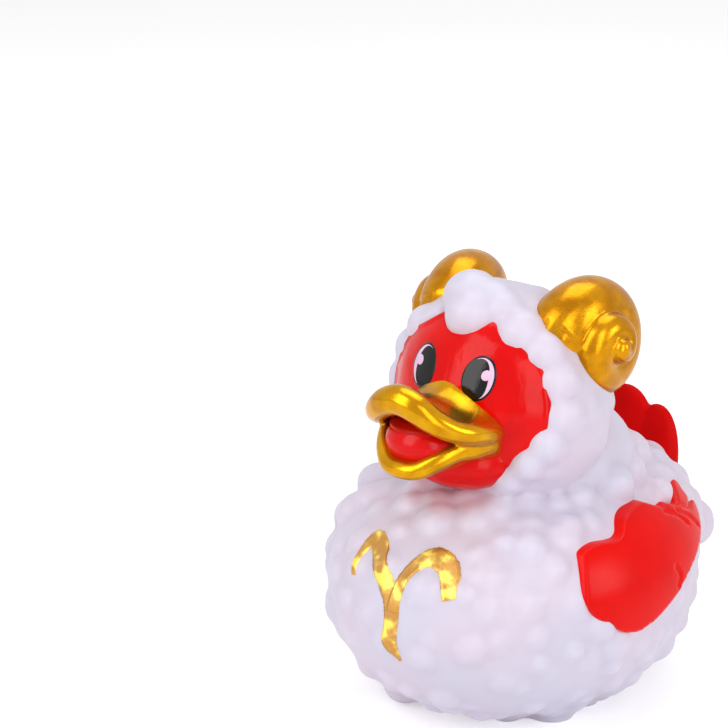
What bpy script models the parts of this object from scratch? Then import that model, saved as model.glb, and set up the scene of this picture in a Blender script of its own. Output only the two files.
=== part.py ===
"""A rubber duck dressed as a ram: one hollow casting in soft vinyl, painted and printed.

Metres, +Z up. The duck looks along -Y and its left side is at +X. The origin is at the middle
of its footprint, on the surface that it stands on.
"""
import math
import random

import bmesh
import bpy
from mathutils import Vector
from mathutils.bvhtree import BVHTree

# Belly under the wool, an egg that is fuller below than above
BODY_WIDTH = 0.0660
BODY_LENGTH = 0.0800
BODY_TOP = 0.0490           # height of the back
BODY_WIDEST = 0.0263        # height at which it is widest
BODY_DEPTH = 0.0270         # from the widest level to the lowest point, before the flat foot
CHEST_FULLNESS = 2.2        # 2 is an ellipse, and more is squarer
STERN_FULLNESS = 2.6

# Rump that carries the tail
RUMP_WIDTH = 0.0540
RUMP_LENGTH = 0.0440
RUMP_THICKNESS = 0.0355
RUMP_BACK = 0.0185
RUMP_HEIGHT = 0.0305

# Neck inside the collar of wool
NECK_DIAMETER = 0.0410
NECK_LENGTH = 0.0260
NECK_HEIGHT = 0.0470
NECK_BACK = 0.0040

# Head: the painted face is the bare head, and the hood of wool lies over it
HEAD_WIDTH = 0.0410
HEAD_DEPTH = 0.0350
HEAD_TALL = 0.0415
HEAD_FORWARD = 0.0050
HEAD_HEIGHT = 0.0607
HOOD_THICKNESS = 0.0014
FACE_MIDDLE_DEG = 5.0       # how far above straight ahead the middle of the face is
HOOD_TUCK = 0.8             # share of its reach that the hood keeps inside its opening
HOOD_CURL_START = 1.25      # where the hood's curls start, as a share of the opening
HOOD_CURL_FLOOR = 0.0133    # and how far below the head's middle they end

# Curls of the wool, as balls sunk into the surface
CURL_RADIUS = 0.0044
CURL_RELIEF = 0.0009        # how far a ball stands out
CURL_SPACING = 0.0068
HOOD_CURL_RADIUS = 0.0052
HOOD_CURL_RELIEF = 0.0008
HOOD_CURL_SPACING = 0.0098
FOOT_CURL_RADIUS = 0.0043   # the curls round the foot
FOOT_RING = 0.0155
FOOT_CURL_COUNT = 11
CURL_SPREAD = 0.22          # how unlike each other they are
WOOL_SEED = 7

# Beak
BEAK_ROOT_HEIGHT = 0.0668   # where its back meets the forehead
BEAK_ROOT_FORWARD = 0.0235
BEAK_CHEEK_WIDTH = 0.0220
BEAK_CHEEK_FORWARD = 0.0205
BEAK_CHEEK_HEIGHT = 0.0598
UPPER_TIP_FORWARD = 0.0362
UPPER_TIP_HEIGHT = 0.0676
UPPER_LIP_THICKNESS = 0.0062       # at the tip
CHEEK_LIP_THICKNESS = 0.0038
LOWER_TIP_FORWARD = 0.0354
LOWER_TIP_HEIGHT = 0.0545
LOWER_LIP_THICKNESS = 0.0036
BEAK_DISH = 0.0022          # hollow in the upper beak, behind its lip
BEAK_ROOT_ARCH = 1.3        # 1 is a pointed root line, and more is rounder
LOWER_FOOT_WIDTH = 0.8      # width of the lower beak at the chin, as a share of its lip
LOWER_FOOT_DROP = 0.4       # and how much of the lip's rise it keeps there
MOUTH_WIDTH = 0.0130
MOUTH_FORWARD = 0.0345
MOUTH_HEIGHT = 0.0590
MOUTH_TALL = 0.0104

# Horns, each a coil that tapers and winds outward
HORN_COIL_SIDE = 0.0126     # where the coil starts, from the middle plane
HORN_TIP_SIDE = 0.0234
HORN_BACK = 0.0030
HORN_HEIGHT = 0.0722
HORN_COIL_RADIUS = 0.0073
HORN_THICKNESS = 0.0136
HORN_TIP_THICKNESS = 0.0034
HORN_TURNS = 1.60
HORN_START_DEG = 35.0       # from straight ahead, over the top
HORN_COIL_POWER = 0.7       # how late the coil closes in
HORN_TAPER_POWER = 0.85     # how early the horn thins
HORN_STEPS = 56

# Wings, domed panels that lie on the flanks
WING_LIFT = 0.0016          # how far a wing stands out from the belly
WING_TOE_IN = 0.0016        # how much more it stands out at its back than at its middle
WING_FRONT = -0.0188
WING_BACK = 0.0256
WING_TOP = 0.0433
WING_BOTTOM = 0.0236
WING_INNER = 0.0080         # nothing of a wing is nearer the middle plane than this

# Tail, a fan of three feathers
TAIL_BACK = 0.0375
TAIL_LEAN_DEG = 12.0
TAIL_THICKNESS = 0.0054
TAIL_FEATHER_LENGTH = 0.0280
TAIL_FEATHER_WIDTH = 0.0146
TAIL_SIDE_WIDTH = 0.0112
TAIL_TOP = 0.0520
TAIL_SIDE_STEP = 0.0076
TAIL_SIDE_DROP = 0.0030
TAIL_CURVE = 0.5            # how much of its lean a feather takes up

# Prints
PRINT_LIFT = 0.0002         # drawn thicker than the real film, so that it shows
PRINT_DEPTH = 0.0010        # how far a film is rooted in the skin
EYE_WIDTH = 0.0069
EYE_TALL = 0.0074
EYE_SIDE = 0.0064
EYE_HEIGHT = 0.0089         # above the head's middle
EYE_TILT_DEG = 8.0
GLINT_WIDTH = 0.0023
GLINT_TALL = 0.0022
GLINT_OUT = 0.0014          # from the middle of the eye, away from the beak
GLINT_UP = 0.0013
SIGN_WIDTH = 0.0212
SIGN_TALL = 0.0200
SIGN_FOOT = 0.0189          # height of its lowest point
SIGN_STROKE = 0.0023

# Casting
WALL = 0.0022
VENT_DIAMETER = 0.0032
SURFACE_VOXEL = 0.0010
SMOOTHING = 0.5
SMOOTHING_ROUNDS = 3
TRIANGLES = 9000
BORDER_HOLD = 1.0           # how firmly thinning keeps the edges of the paint

CLEAR = 0.001               # how far a cutter runs past what it cuts
AREA_POWER = 1.6            # exponent of the usual estimate of an ellipsoid's area
PATH_STEPS = 4              # points between two knots of a smooth path
SHELF_STEPS = 8             # points along a strip of the upper beak, from root to lip


def linear(hex_colour):
    """An sRGB hex colour as linear RGBA."""
    channels = [int(hex_colour[i:i + 2], 16) / 255 for i in (1, 3, 5)]
    return [c / 12.92 if c <= 0.04045 else ((c + 0.055) / 1.055) ** 2.4 for c in channels] + [1.0]


def make_material(name, colour, roughness, metallic=0.0):
    material = bpy.data.materials.new(name)
    material.use_nodes = True
    shader = material.node_tree.nodes["Principled BSDF"]
    shader.inputs["Base Color"].default_value = linear(colour)
    shader.inputs["Roughness"].default_value = roughness
    shader.inputs["Metallic"].default_value = metallic
    material.diffuse_color = linear(colour)
    return material


def make_object(name, bm, collection):
    """A bmesh as a new object, with its faces turned outward."""
    bmesh.ops.recalc_face_normals(bm, faces=bm.faces[:])
    mesh = bpy.data.meshes.new(name)
    bm.to_mesh(mesh)
    bm.free()
    thing = bpy.data.objects.new(name, mesh)
    collection.objects.link(thing)
    return thing


def add_ball(bm, centre, radius):
    made = bmesh.ops.create_icosphere(bm, subdivisions=2, radius=radius)
    bmesh.ops.translate(bm, verts=made["verts"], vec=centre)


def add_ellipsoid(bm, centre, semi_axes, segments=48, rings=24):
    made = bmesh.ops.create_uvsphere(bm, u_segments=segments, v_segments=rings, radius=1.0)
    bmesh.ops.scale(bm, verts=made["verts"], vec=semi_axes)
    bmesh.ops.translate(bm, verts=made["verts"], vec=centre)
    return made["verts"]


def curve_to_mesh(bm, curve):
    """Adds a curve's closed surface to a bmesh and removes the curve."""
    holder = bpy.data.objects.new("guide", curve)
    bpy.context.scene.collection.objects.link(holder)
    graph = bpy.context.evaluated_depsgraph_get()
    mesh = bpy.data.meshes.new_from_object(holder.evaluated_get(graph))
    piece = bmesh.new()
    piece.from_mesh(mesh)
    bmesh.ops.remove_doubles(piece, verts=piece.verts[:], dist=1e-6)
    bmesh.ops.recalc_face_normals(piece, faces=piece.faces[:])
    piece.to_mesh(mesh)
    piece.free()
    bm.from_mesh(mesh)
    bpy.data.meshes.remove(mesh)
    bpy.data.objects.remove(holder)
    bpy.data.curves.remove(curve)


def add_tube(bm, points, radii):
    """A round tube with filled ends through points, with a radius at each."""
    curve = bpy.data.curves.new("tube", "CURVE")
    curve.dimensions = "3D"
    curve.bevel_depth = 1.0
    curve.bevel_resolution = 4
    curve.use_fill_caps = True
    spline = curve.splines.new("POLY")
    spline.points.add(len(points) - 1)
    for place, point, radius in zip(spline.points, points, radii):
        place.co = (*point, 1.0)
        place.radius = radius
    curve_to_mesh(bm, curve)


def smooth_path(points, steps):
    """Points along a Catmull-Rom curve through the points given."""
    knots = [Vector(p) for p in points]
    knots = [2 * knots[0] - knots[1]] + knots + [2 * knots[-1] - knots[-2]]
    path = []
    for i in range(1, len(knots) - 2):
        before, start, end, after = knots[i - 1:i + 3]
        for step in range(steps):
            t = step / steps
            path.append(0.5 * (2 * start + (end - before) * t
                               + (2 * before - 5 * start + 4 * end - after) * t ** 2
                               + (3 * start - before - 3 * end + after) * t ** 3))
    path.append(knots[-2])
    return path


def golden_directions(count):
    """Evenly spread directions, on a spiral from top to bottom."""
    turn = math.pi * (3 - math.sqrt(5))
    for i in range(count):
        z = 1 - 2 * (i + 0.5) / count
        ring = math.sqrt(1 - z * z)
        yield Vector((ring * math.cos(i * turn), ring * math.sin(i * turn), z))


def curl_count(semi_axes, spacing):
    """How many curls cover an ellipsoid, from its area and their spacing."""
    a, b, c = (axis ** AREA_POWER for axis in semi_axes)
    area = 4 * math.pi * ((a * b + a * c + b * c) / 3) ** (1 / AREA_POWER)
    return round(area / (spacing ** 2 * math.sqrt(3) / 2))


# Places that several pieces share
BODY_CENTRE = Vector((0, 0, BODY_WIDEST))
RUMP_CENTRE = Vector((0, RUMP_BACK, RUMP_HEIGHT))
RUMP_AXES = Vector((RUMP_WIDTH / 2, RUMP_LENGTH / 2, RUMP_THICKNESS / 2))
HEAD_CENTRE = Vector((0, -HEAD_FORWARD, HEAD_HEIGHT))
HEAD_AXES = Vector((HEAD_WIDTH / 2, HEAD_DEPTH / 2, HEAD_TALL / 2))
HOOD_AXES = HEAD_AXES + Vector((HOOD_THICKNESS,) * 3)


FACE_EDGE = (               # edge of the face on the left: degrees to the side and up, top to chin
    (0.0, 57.5), (9.0, 60.0), (21.0, 61.5), (32.0, 60.5), (41.0, 55.5), (45.5, 49.5),
    (51.5, 44.5), (58.0, 39.5), (62.5, 33.0), (64.0, 26.0), (63.0, 18.0), (64.5, 10.0),
    (63.0, 3.0), (62.0, -4.5), (56.5, -9.0), (53.0, -13.5), (48.5, -15.5), (44.5, -20.5),
    (40.0, -27.5), (31.5, -35.0), (19.0, -45.0), (9.0, -53.0), (0.0, -56.0),
)
FRINGE = (                  # curls round the face: degrees to the side and up, radius and relief
    (-5.0, 67.0, 0.0048, 0.0032), (16.0, 77.0, 0.0042, 0.0026), (-28.0, 72.0, 0.0042, 0.0034),
    (36.0, 71.0, 0.0042, 0.0020), (57.0, 56.0, 0.0054, 0.0018), (69.0, 41.0, 0.0046, 0.0017),
    (74.0, 23.5, 0.0050, 0.0015), (74.5, 4.0, 0.0052, 0.0015), (64.0, -11.0, 0.0043, 0.0018),
    (53.5, -22.0, 0.0038, 0.0018), (43.0, -34.0, 0.0038, 0.0016), (29.0, -47.0, 0.0036, 0.0013),
    (10.0, -59.0, 0.0035, 0.0010),
)
FRINGE_PAIR_FROM_DEG = 5.0  # a curl further left than this has a twin on the right
COLLAR = (                  # rings of curls under the head: radius, height, dip, count and curl radius
    (0.0200, 0.0452, 0.0030, 14, 0.0044), (0.0258, 0.0412, 0.0015, 18, 0.0042),
)
COLLAR_REACH = 0.0020       # how much further forward a ring runs under the chin


def body_point(direction, grow=0.0):
    """The point of the belly in a direction from its middle."""
    flat = Vector((direction.x, direction.y))
    rise = direction.z
    half_tall = BODY_TOP - BODY_WIDEST if rise > 0 else BODY_DEPTH
    toward_back = 0.5 + 0.5 * direction.y
    fullness = 2.0 if rise > 0 else CHEST_FULLNESS + (STERN_FULLNESS - CHEST_FULLNESS) * toward_back
    across = math.hypot(flat.x / (BODY_WIDTH / 2 + grow), flat.y / (BODY_LENGTH / 2 + grow))
    up = abs(rise) / (half_tall + grow)
    reach = (across ** fullness + up ** fullness) ** (-1 / fullness)
    return BODY_CENTRE + direction * reach


def toward(side_deg, up_deg):
    """A direction from straight ahead, turned to the duck's left and raised."""
    side, up = math.radians(side_deg), math.radians(up_deg)
    return Vector((math.sin(side) * math.cos(up), -math.cos(side) * math.cos(up), math.sin(up)))


def on_hood(direction):
    """Where a ray from the head's middle leaves the hood, from that middle."""
    return direction / math.sqrt(sum((d / a) ** 2 for d, a in zip(direction, HOOD_AXES)))


def face_reaches():
    """The face's edge on the left as turn from straight up and reach, in that order."""
    edge = smooth_path([(side, up - FACE_MIDDLE_DEG, 0) for side, up in FACE_EDGE], PATH_STEPS)
    return sorted((math.atan2(abs(point.x), point.y), point.length) for point in edge)


def in_face(direction):
    """Below 1 inside the opening of the hood, for a direction from the head's middle."""
    side = abs(math.degrees(math.atan2(direction.x, -direction.y)))
    up = math.degrees(math.asin(max(-1.0, min(1.0, direction.z)))) - FACE_MIDDLE_DEG
    turn = math.atan2(side, up)
    reach = min(FACE_REACHES, key=lambda place: abs(place[0] - turn))[1]
    return math.hypot(side, up) / reach


FACE_REACHES = face_reaches()

WING_OUTLINE = (            # share of the wing's length and height, and whether it is a point
    (0.005, 0.437, False), (0.016, 0.574, False), (0.041, 0.711, False), (0.070, 0.832, True),
    (0.108, 0.863, False), (0.164, 0.873, False), (0.227, 0.858, False), (0.270, 0.853, True),
    (0.306, 0.878, False), (0.347, 0.939, False), (0.394, 0.980, False), (0.471, 1.000, False),
    (0.541, 0.995, False), (0.608, 0.924, False), (0.664, 0.863, True), (0.703, 0.878, True),
    (0.779, 0.797, True), (0.874, 0.883, False), (0.944, 0.914, True), (0.995, 0.751, False),
    (0.977, 0.609, False), (0.896, 0.497, False), (0.784, 0.406, False), (0.640, 0.294, False),
    (0.502, 0.147, False), (0.387, 0.051, False), (0.286, 0.000, False), (0.221, 0.015, False),
    (0.167, 0.066, False), (0.108, 0.183, False), (0.050, 0.259, False),
)


def in_wing(place):
    """Whether a place lies inside a wing's outline, seen from the side."""
    corners = [(WING_FRONT + along * (WING_BACK - WING_FRONT),
                WING_BOTTOM + up * (WING_TOP - WING_BOTTOM)) for along, up, _ in WING_OUTLINE]
    inside = False
    for (y, z), (last_y, last_z) in zip(corners, corners[-1:] + corners[:-1]):
        if (z > place.z) != (last_z > place.z):
            if place.y < (last_y - y) * (place.z - z) / (last_z - z) + y:
                inside = not inside
    return inside


def wing_outline_curve(side):
    """The wing's outline in the YZ plane, as a flat curve thick enough to cut with."""
    curve = bpy.data.curves.new("wing_outline", "CURVE")
    curve.dimensions = "2D"
    curve.fill_mode = "BOTH"
    curve.extrude = BODY_WIDTH / 4
    curve.resolution_u = 5
    spline = curve.splines.new("BEZIER")
    spline.use_cyclic_u = True
    spline.bezier_points.add(len(WING_OUTLINE) - 1)
    for knot, (along, up, pointed) in zip(spline.bezier_points, WING_OUTLINE):
        knot.co = (WING_FRONT + along * (WING_BACK - WING_FRONT),
                   WING_BOTTOM + up * (WING_TOP - WING_BOTTOM), side * (WING_INNER + BODY_WIDTH / 4))
        knot.handle_left_type = "VECTOR" if pointed else "AUTO"
        knot.handle_right_type = "VECTOR" if pointed else "AUTO"
    return curve


def boolean(target, cutter, operation):
    """Applies an exact Boolean to the target's mesh."""
    cut = target.modifiers.new(operation.lower(), "BOOLEAN")
    cut.object = cutter
    cut.operation = operation
    cut.material_mode = "TRANSFER"
    graph = bpy.context.evaluated_depsgraph_get()
    mesh = bpy.data.meshes.new_from_object(target.evaluated_get(graph))
    old = target.data
    target.modifiers.clear()
    target.data = mesh
    mesh.name = target.name
    bpy.data.meshes.remove(old)


def hide_cutter(cutter):
    cutter.hide_render = True
    cutter.display_type = "WIRE"


def build_belly(bm):
    made = bmesh.ops.create_uvsphere(bm, u_segments=64, v_segments=40, radius=1.0)
    for vertex in made["verts"]:
        vertex.co = body_point(vertex.co.normalized())
    add_ellipsoid(bm, RUMP_CENTRE, RUMP_AXES)
    add_ellipsoid(bm, (0, NECK_BACK, NECK_HEIGHT),
                  (NECK_DIAMETER / 2, NECK_DIAMETER / 2, NECK_LENGTH / 2))


def curl_size(chance, radius):
    return radius * (1 + CURL_SPREAD * (2 * chance.random() - 1))


def build_body_curls(bm):
    chance = random.Random(WOOL_SEED)
    axes = (BODY_WIDTH / 2, BODY_LENGTH / 2, (BODY_TOP - BODY_WIDEST + BODY_DEPTH) / 2)
    for direction in golden_directions(curl_count(axes, CURL_SPACING)):
        radius = curl_size(chance, CURL_RADIUS)
        place = body_point(direction)
        if place.z > CURL_RELIEF and not in_wing(place):
            add_ball(bm, place + direction * (CURL_RELIEF - radius), radius)
    for direction in golden_directions(curl_count(RUMP_AXES, CURL_SPACING)):
        radius = curl_size(chance, CURL_RADIUS)
        place = RUMP_CENTRE + Vector(d * a for d, a in zip(direction, RUMP_AXES))
        if direction.y > 0:
            add_ball(bm, place + direction * (CURL_RELIEF - radius), radius)
    for ring, height, dip, count, size in COLLAR:
        for i in range(count):
            turn = 2 * math.pi * (i + 0.5) / count
            radius = curl_size(chance, size)
            chin = max(0.0, math.cos(turn)) ** 2
            reach = ring + COLLAR_REACH * chin
            place = Vector((reach * math.sin(turn), NECK_BACK - reach * math.cos(turn),
                            height - dip * chin))
            if not in_wing(place):
                add_ball(bm, place, radius)
    for i in range(FOOT_CURL_COUNT):
        turn = 2 * math.pi * i / FOOT_CURL_COUNT
        radius = curl_size(chance, FOOT_CURL_RADIUS)
        add_ball(bm, (FOOT_RING * math.sin(turn), -FOOT_RING * math.cos(turn), radius / 2), radius)


def build_head(bm):
    add_ellipsoid(bm, HEAD_CENTRE, HEAD_AXES)


def build_hood(bm):
    """The wool over the head: a shell with its face open, and curls on it and round the opening."""
    verts = add_ellipsoid(bm, HEAD_CENTRE, HOOD_AXES, segments=72, rings=48)
    for vertex in verts:
        direction = (vertex.co - HEAD_CENTRE).normalized()
        if in_face(direction) < 1.0:
            vertex.co = HEAD_CENTRE + (vertex.co - HEAD_CENTRE) * HOOD_TUCK
    chance = random.Random(WOOL_SEED + 1)
    for direction in golden_directions(curl_count(HOOD_AXES, HOOD_CURL_SPACING)):
        radius = curl_size(chance, HOOD_CURL_RADIUS)
        surface = on_hood(direction)
        if in_face(direction) > HOOD_CURL_START and surface.z > -HOOD_CURL_FLOOR:
            add_ball(bm, HEAD_CENTRE + surface + direction * (HOOD_CURL_RELIEF - radius), radius)
    for side_deg, up_deg, radius, relief in FRINGE:
        for side in (-1, 1) if side_deg > FRINGE_PAIR_FROM_DEG else (1,):
            direction = toward(side * side_deg, up_deg)
            add_ball(bm, HEAD_CENTRE + on_hood(direction) + direction * (relief - radius), radius)


def mirrored(points):
    """A row of points from the middle plane outward, with its mirror image before it."""
    return [(-x, y, z) for x, y, z in reversed(points[1:])] + list(points)


UPPER_RIM = (               # share of the half width, of the reach forward and of the rise
    (0.00, 1.00, 1.00), (0.30, 1.00, 0.86), (0.60, 0.92, 0.50),
    (0.85, 0.66, 0.22), (0.98, 0.30, 0.10), (1.00, 0.00, 0.00),
)
LOWER_RIM = (               # the same, with the drop in place of the rise
    (0.00, 1.00, 1.00), (0.30, 0.96, 0.90), (0.54, 0.80, 0.55),
    (0.72, 0.58, 0.30), (0.90, 0.28, 0.28), (1.00, 0.00, 0.30),
)


def lip(shares, half, tip_forward, tip_height):
    """A lip's middle line, from cheek to cheek."""
    reach = tip_forward - BEAK_CHEEK_FORWARD
    change = tip_height - BEAK_CHEEK_HEIGHT
    points = [(half * across, -BEAK_CHEEK_FORWARD - reach * out, BEAK_CHEEK_HEIGHT + change * along)
              for across, out, along in shares]
    return smooth_path(mirrored(points), PATH_STEPS)


def build_beak(bm):
    root_half = BEAK_CHEEK_WIDTH / 2
    upper = lip(UPPER_RIM, root_half, UPPER_TIP_FORWARD, UPPER_TIP_HEIGHT)
    lower = lip(LOWER_RIM, root_half - LOWER_LIP_THICKNESS / 4, LOWER_TIP_FORWARD, LOWER_TIP_HEIGHT)
    reach = UPPER_TIP_FORWARD - BEAK_CHEEK_FORWARD
    girths = [CHEEK_LIP_THICKNESS + (UPPER_LIP_THICKNESS - CHEEK_LIP_THICKNESS)
              * max(0.0, (-rim.y - BEAK_CHEEK_FORWARD) / reach) ** 2 for rim in upper]
    add_tube(bm, upper, [girth / 2 for girth in girths])
    add_tube(bm, lower, [LOWER_LIP_THICKNESS / 2] * len(lower))
    for rim in upper:
        across = rim.x / root_half
        root = Vector((rim.x, -BEAK_ROOT_FORWARD * (1 - across ** 2)
                       - (BEAK_CHEEK_FORWARD - CLEAR) * across ** 2,
                       BEAK_ROOT_HEIGHT
                       + (BEAK_CHEEK_HEIGHT - BEAK_ROOT_HEIGHT) * abs(across) ** BEAK_ROOT_ARCH))
        strip = []
        for step in range(SHELF_STEPS + 1):
            t = step / SHELF_STEPS
            point = root.lerp(rim, t)
            point.z -= BEAK_DISH * math.sin(math.pi * t) * (1 - across ** 2)
            strip.append(point)
        add_tube(bm, strip, [CHEEK_LIP_THICKNESS / 2] * len(strip))
    chin = Vector((0, -BEAK_CHEEK_FORWARD + LOWER_LIP_THICKNESS, LOWER_TIP_HEIGHT - CLEAR))
    for rim in lower:
        foot = Vector((rim.x * LOWER_FOOT_WIDTH, chin.y,
                       chin.z + (rim.z - LOWER_TIP_HEIGHT) * LOWER_FOOT_DROP))
        add_tube(bm, [foot, rim], [LOWER_LIP_THICKNESS / 2] * 2)


def build_mouth(bm):
    deep = (MOUTH_FORWARD - BEAK_CHEEK_FORWARD) / 2 + CLEAR
    add_ellipsoid(bm, (0, -MOUTH_FORWARD + deep, MOUTH_HEIGHT),
                  (MOUTH_WIDTH / 2, deep, MOUTH_TALL / 2), 32, 16)


def build_horn(bm, side):
    points = []
    radii = []
    for i in range(HORN_STEPS + 1):
        t = i / HORN_STEPS
        turn = math.radians(HORN_START_DEG) + 2 * math.pi * HORN_TURNS * t
        coil = HORN_COIL_RADIUS * (1 - t) ** HORN_COIL_POWER
        out = HORN_COIL_SIDE + (HORN_TIP_SIDE - HORN_COIL_SIDE) * t
        points.append((side * out, HORN_BACK - coil * math.cos(turn),
                       HORN_HEIGHT + coil * math.sin(turn)))
        taper = t ** HORN_TAPER_POWER
        radii.append((HORN_THICKNESS + (HORN_TIP_THICKNESS - HORN_THICKNESS) * taper) / 2)
    add_tube(bm, points, radii)
    add_ball(bm, points[-1], radii[-1])


def build_wing(bm, side):
    dome = bmesh.new()
    made = bmesh.ops.create_uvsphere(dome, u_segments=64, v_segments=40, radius=1.0)
    for vertex in made["verts"]:
        vertex.co = body_point(vertex.co.normalized(), WING_LIFT) + Vector((0, WING_TOE_IN, 0))
    blank = make_object("wing_blank", dome, cutters)
    prism = bmesh.new()
    curve_to_mesh(prism, wing_outline_curve(side))
    for vertex in prism.verts:
        vertex.co = (vertex.co.z, vertex.co.x, vertex.co.y)
    outline = make_object("wing_outline", prism, cutters)
    boolean(blank, outline, "INTERSECT")
    bm.from_mesh(blank.data)
    bpy.data.objects.remove(blank)
    bpy.data.objects.remove(outline)


def build_tail(bm):
    lean = math.radians(TAIL_LEAN_DEG)
    feathers = [(0.0, TAIL_TOP, TAIL_FEATHER_WIDTH)]
    for side in (-1, 1):
        feathers.append((side * TAIL_SIDE_STEP, TAIL_TOP - TAIL_SIDE_DROP, TAIL_SIDE_WIDTH))
    for across, top, width in feathers:
        verts = add_ellipsoid(bm, (0, 0, 0), (width / 2, TAIL_THICKNESS / 2, TAIL_FEATHER_LENGTH / 2),
                              32, 16)
        for vertex in verts:
            x, y, z = vertex.co
            drop = TAIL_FEATHER_LENGTH / 2 - z
            vertex.co = (across + x, TAIL_BACK + y * math.cos(lean) - drop * math.sin(lean) * TAIL_CURVE,
                         top - drop)


def join_regions(regions):
    """One object that holds every region's closed surfaces, still overlapping."""
    bm = bmesh.new()
    for shape in regions.values():
        bm.from_mesh(shape.data)
    return make_object("duck", bm, parts)


def cast_skin(duck):
    """Melts the overlapping shapes into one skin, as soft vinyl takes them from its mould."""
    melt = duck.modifiers.new("melt", "REMESH")
    melt.mode = "VOXEL"
    melt.voxel_size = SURFACE_VOXEL
    melt.adaptivity = 0.0
    soften = duck.modifiers.new("soften", "SMOOTH")
    soften.factor = SMOOTHING
    soften.iterations = SMOOTHING_ROUNDS
    graph = bpy.context.evaluated_depsgraph_get()
    fine = bpy.data.meshes.new_from_object(duck.evaluated_get(graph))
    old = duck.data
    duck.modifiers.clear()
    duck.data = fine
    bpy.data.meshes.remove(old)


def thin_out(duck):
    """Leaves fewer triangles, and most of them along the edges of the paint."""
    fine = duck.data
    colours = [set() for _ in fine.vertices]
    for face in fine.polygons:
        for index in face.vertices:
            colours[index].add(face.material_index)
    free = duck.vertex_groups.new(name="free")
    free.add([i for i, seen in enumerate(colours) if len(seen) == 1], 1.0, "REPLACE")
    thin = duck.modifiers.new("thin_out", "DECIMATE")
    thin.ratio = TRIANGLES / (2 * len(fine.polygons))
    thin.vertex_group = free.name
    thin.vertex_group_factor = BORDER_HOLD
    graph = bpy.context.evaluated_depsgraph_get()
    duck.data = bpy.data.meshes.new_from_object(duck.evaluated_get(graph))
    duck.modifiers.clear()
    duck.vertex_groups.clear()
    bpy.data.meshes.remove(fine)


def make_cutter(name, bm):
    cutter = make_object(name, bm, cutters)
    hide_cutter(cutter)
    cutter.data.materials.append(paints["wool_white"])
    return cutter


def foot_cutter():
    """Everything below the surface that the duck stands on."""
    bm = bmesh.new()
    deep = BODY_DEPTH
    made = bmesh.ops.create_cube(bm, size=1.0)
    bmesh.ops.scale(bm, verts=made["verts"], vec=(2 * BODY_WIDTH, 2 * BODY_LENGTH, deep))
    bmesh.ops.translate(bm, verts=made["verts"], vec=(0, 0, -deep / 2))
    return make_cutter("foot_cutter", bm)


def hollow_cutters():
    """The hollow of the casting, one wall inside the skin that lies under the wool, and its vent."""
    inset = Vector((WALL, WALL, WALL))
    belly = bmesh.new()
    made = bmesh.ops.create_uvsphere(belly, u_segments=28, v_segments=16, radius=1.0)
    for vertex in made["verts"]:
        vertex.co = body_point(vertex.co.normalized(), -WALL)
        vertex.co.z = max(vertex.co.z, WALL)
    rump = bmesh.new()
    add_ellipsoid(rump, RUMP_CENTRE, RUMP_AXES - inset, 20, 12)
    neck = bmesh.new()
    add_ellipsoid(neck, (0, NECK_BACK, NECK_HEIGHT),
                  (NECK_DIAMETER / 2 - WALL, NECK_DIAMETER / 2 - WALL, NECK_LENGTH / 2), 20, 10)
    head = bmesh.new()
    add_ellipsoid(head, HEAD_CENTRE, HEAD_AXES - inset, 24, 14)
    vent = bmesh.new()
    made = bmesh.ops.create_cone(vent, cap_ends=True, segments=16, radius1=VENT_DIAMETER / 2,
                                 radius2=VENT_DIAMETER / 2, depth=WALL + 4 * CLEAR)
    bmesh.ops.translate(vent, verts=made["verts"], vec=(0, 0, WALL / 2 + CLEAR))
    return [make_cutter("hollow_belly", belly), make_cutter("hollow_rump", rump),
            make_cutter("hollow_neck", neck), make_cutter("hollow_head", head),
            make_cutter("vent", vent)]


def cut_with(duck, cutter):
    cut = duck.modifiers.new(cutter.name, "BOOLEAN")
    cut.object = cutter
    cut.operation = "DIFFERENCE"
    cut.material_mode = "TRANSFER"


def paint(duck, regions):
    """Gives each face the paint of the region that it lies on."""
    graph = bpy.context.evaluated_depsgraph_get()
    names = list(paints)
    duck.data.materials.clear()
    for name in names:
        duck.data.materials.append(paints[name])
    skins = [(names.index(name.split(".")[0]), BVHTree.FromObject(shape, graph))
             for name, shape in regions.items()]
    for face in duck.data.polygons:
        place = face.center
        nearest = min(skins, key=lambda skin: skin[1].find_nearest(place)[3])
        face.material_index = nearest[0]


def add_film(bm, outline, skin, lift):
    """A thin pad on a skin: outline(u, v) gives x and z for u and v from -1 to 1."""
    cells_along, cells_across = outline.cells
    made = bmesh.ops.create_grid(bm, x_segments=cells_along, y_segments=cells_across, size=1.0)
    front = made["verts"]
    for vertex in front:
        x, z = outline(vertex.co.x, vertex.co.y)
        touch = skin.ray_cast(Vector((x, -BODY_LENGTH, z)), Vector((0, 1, 0)))[0]
        vertex.co = touch - Vector((0, lift, 0))
    faces = list({face for vertex in front for face in vertex.link_faces})
    sunk = bmesh.ops.extrude_face_region(bm, geom=faces)
    verts = [v for v in sunk["geom"] if isinstance(v, bmesh.types.BMVert)]
    bmesh.ops.translate(bm, verts=verts, vec=(0, lift + PRINT_DEPTH, 0))


class Oval:
    """An oval patch of x and z."""
    cells = (6, 6)

    def __init__(self, centre, width, tall, tilt=0.0):
        self.centre = centre
        self.half = (width / 2, tall / 2)
        self.tilt = tilt

    def __call__(self, u, v):
        x = self.half[0] * u * math.sqrt(1 - v * v / 2)
        z = self.half[1] * v * math.sqrt(1 - u * u / 2)
        return (self.centre[0] + x * math.cos(self.tilt) - z * math.sin(self.tilt),
                self.centre[1] + x * math.sin(self.tilt) + z * math.cos(self.tilt))


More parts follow.
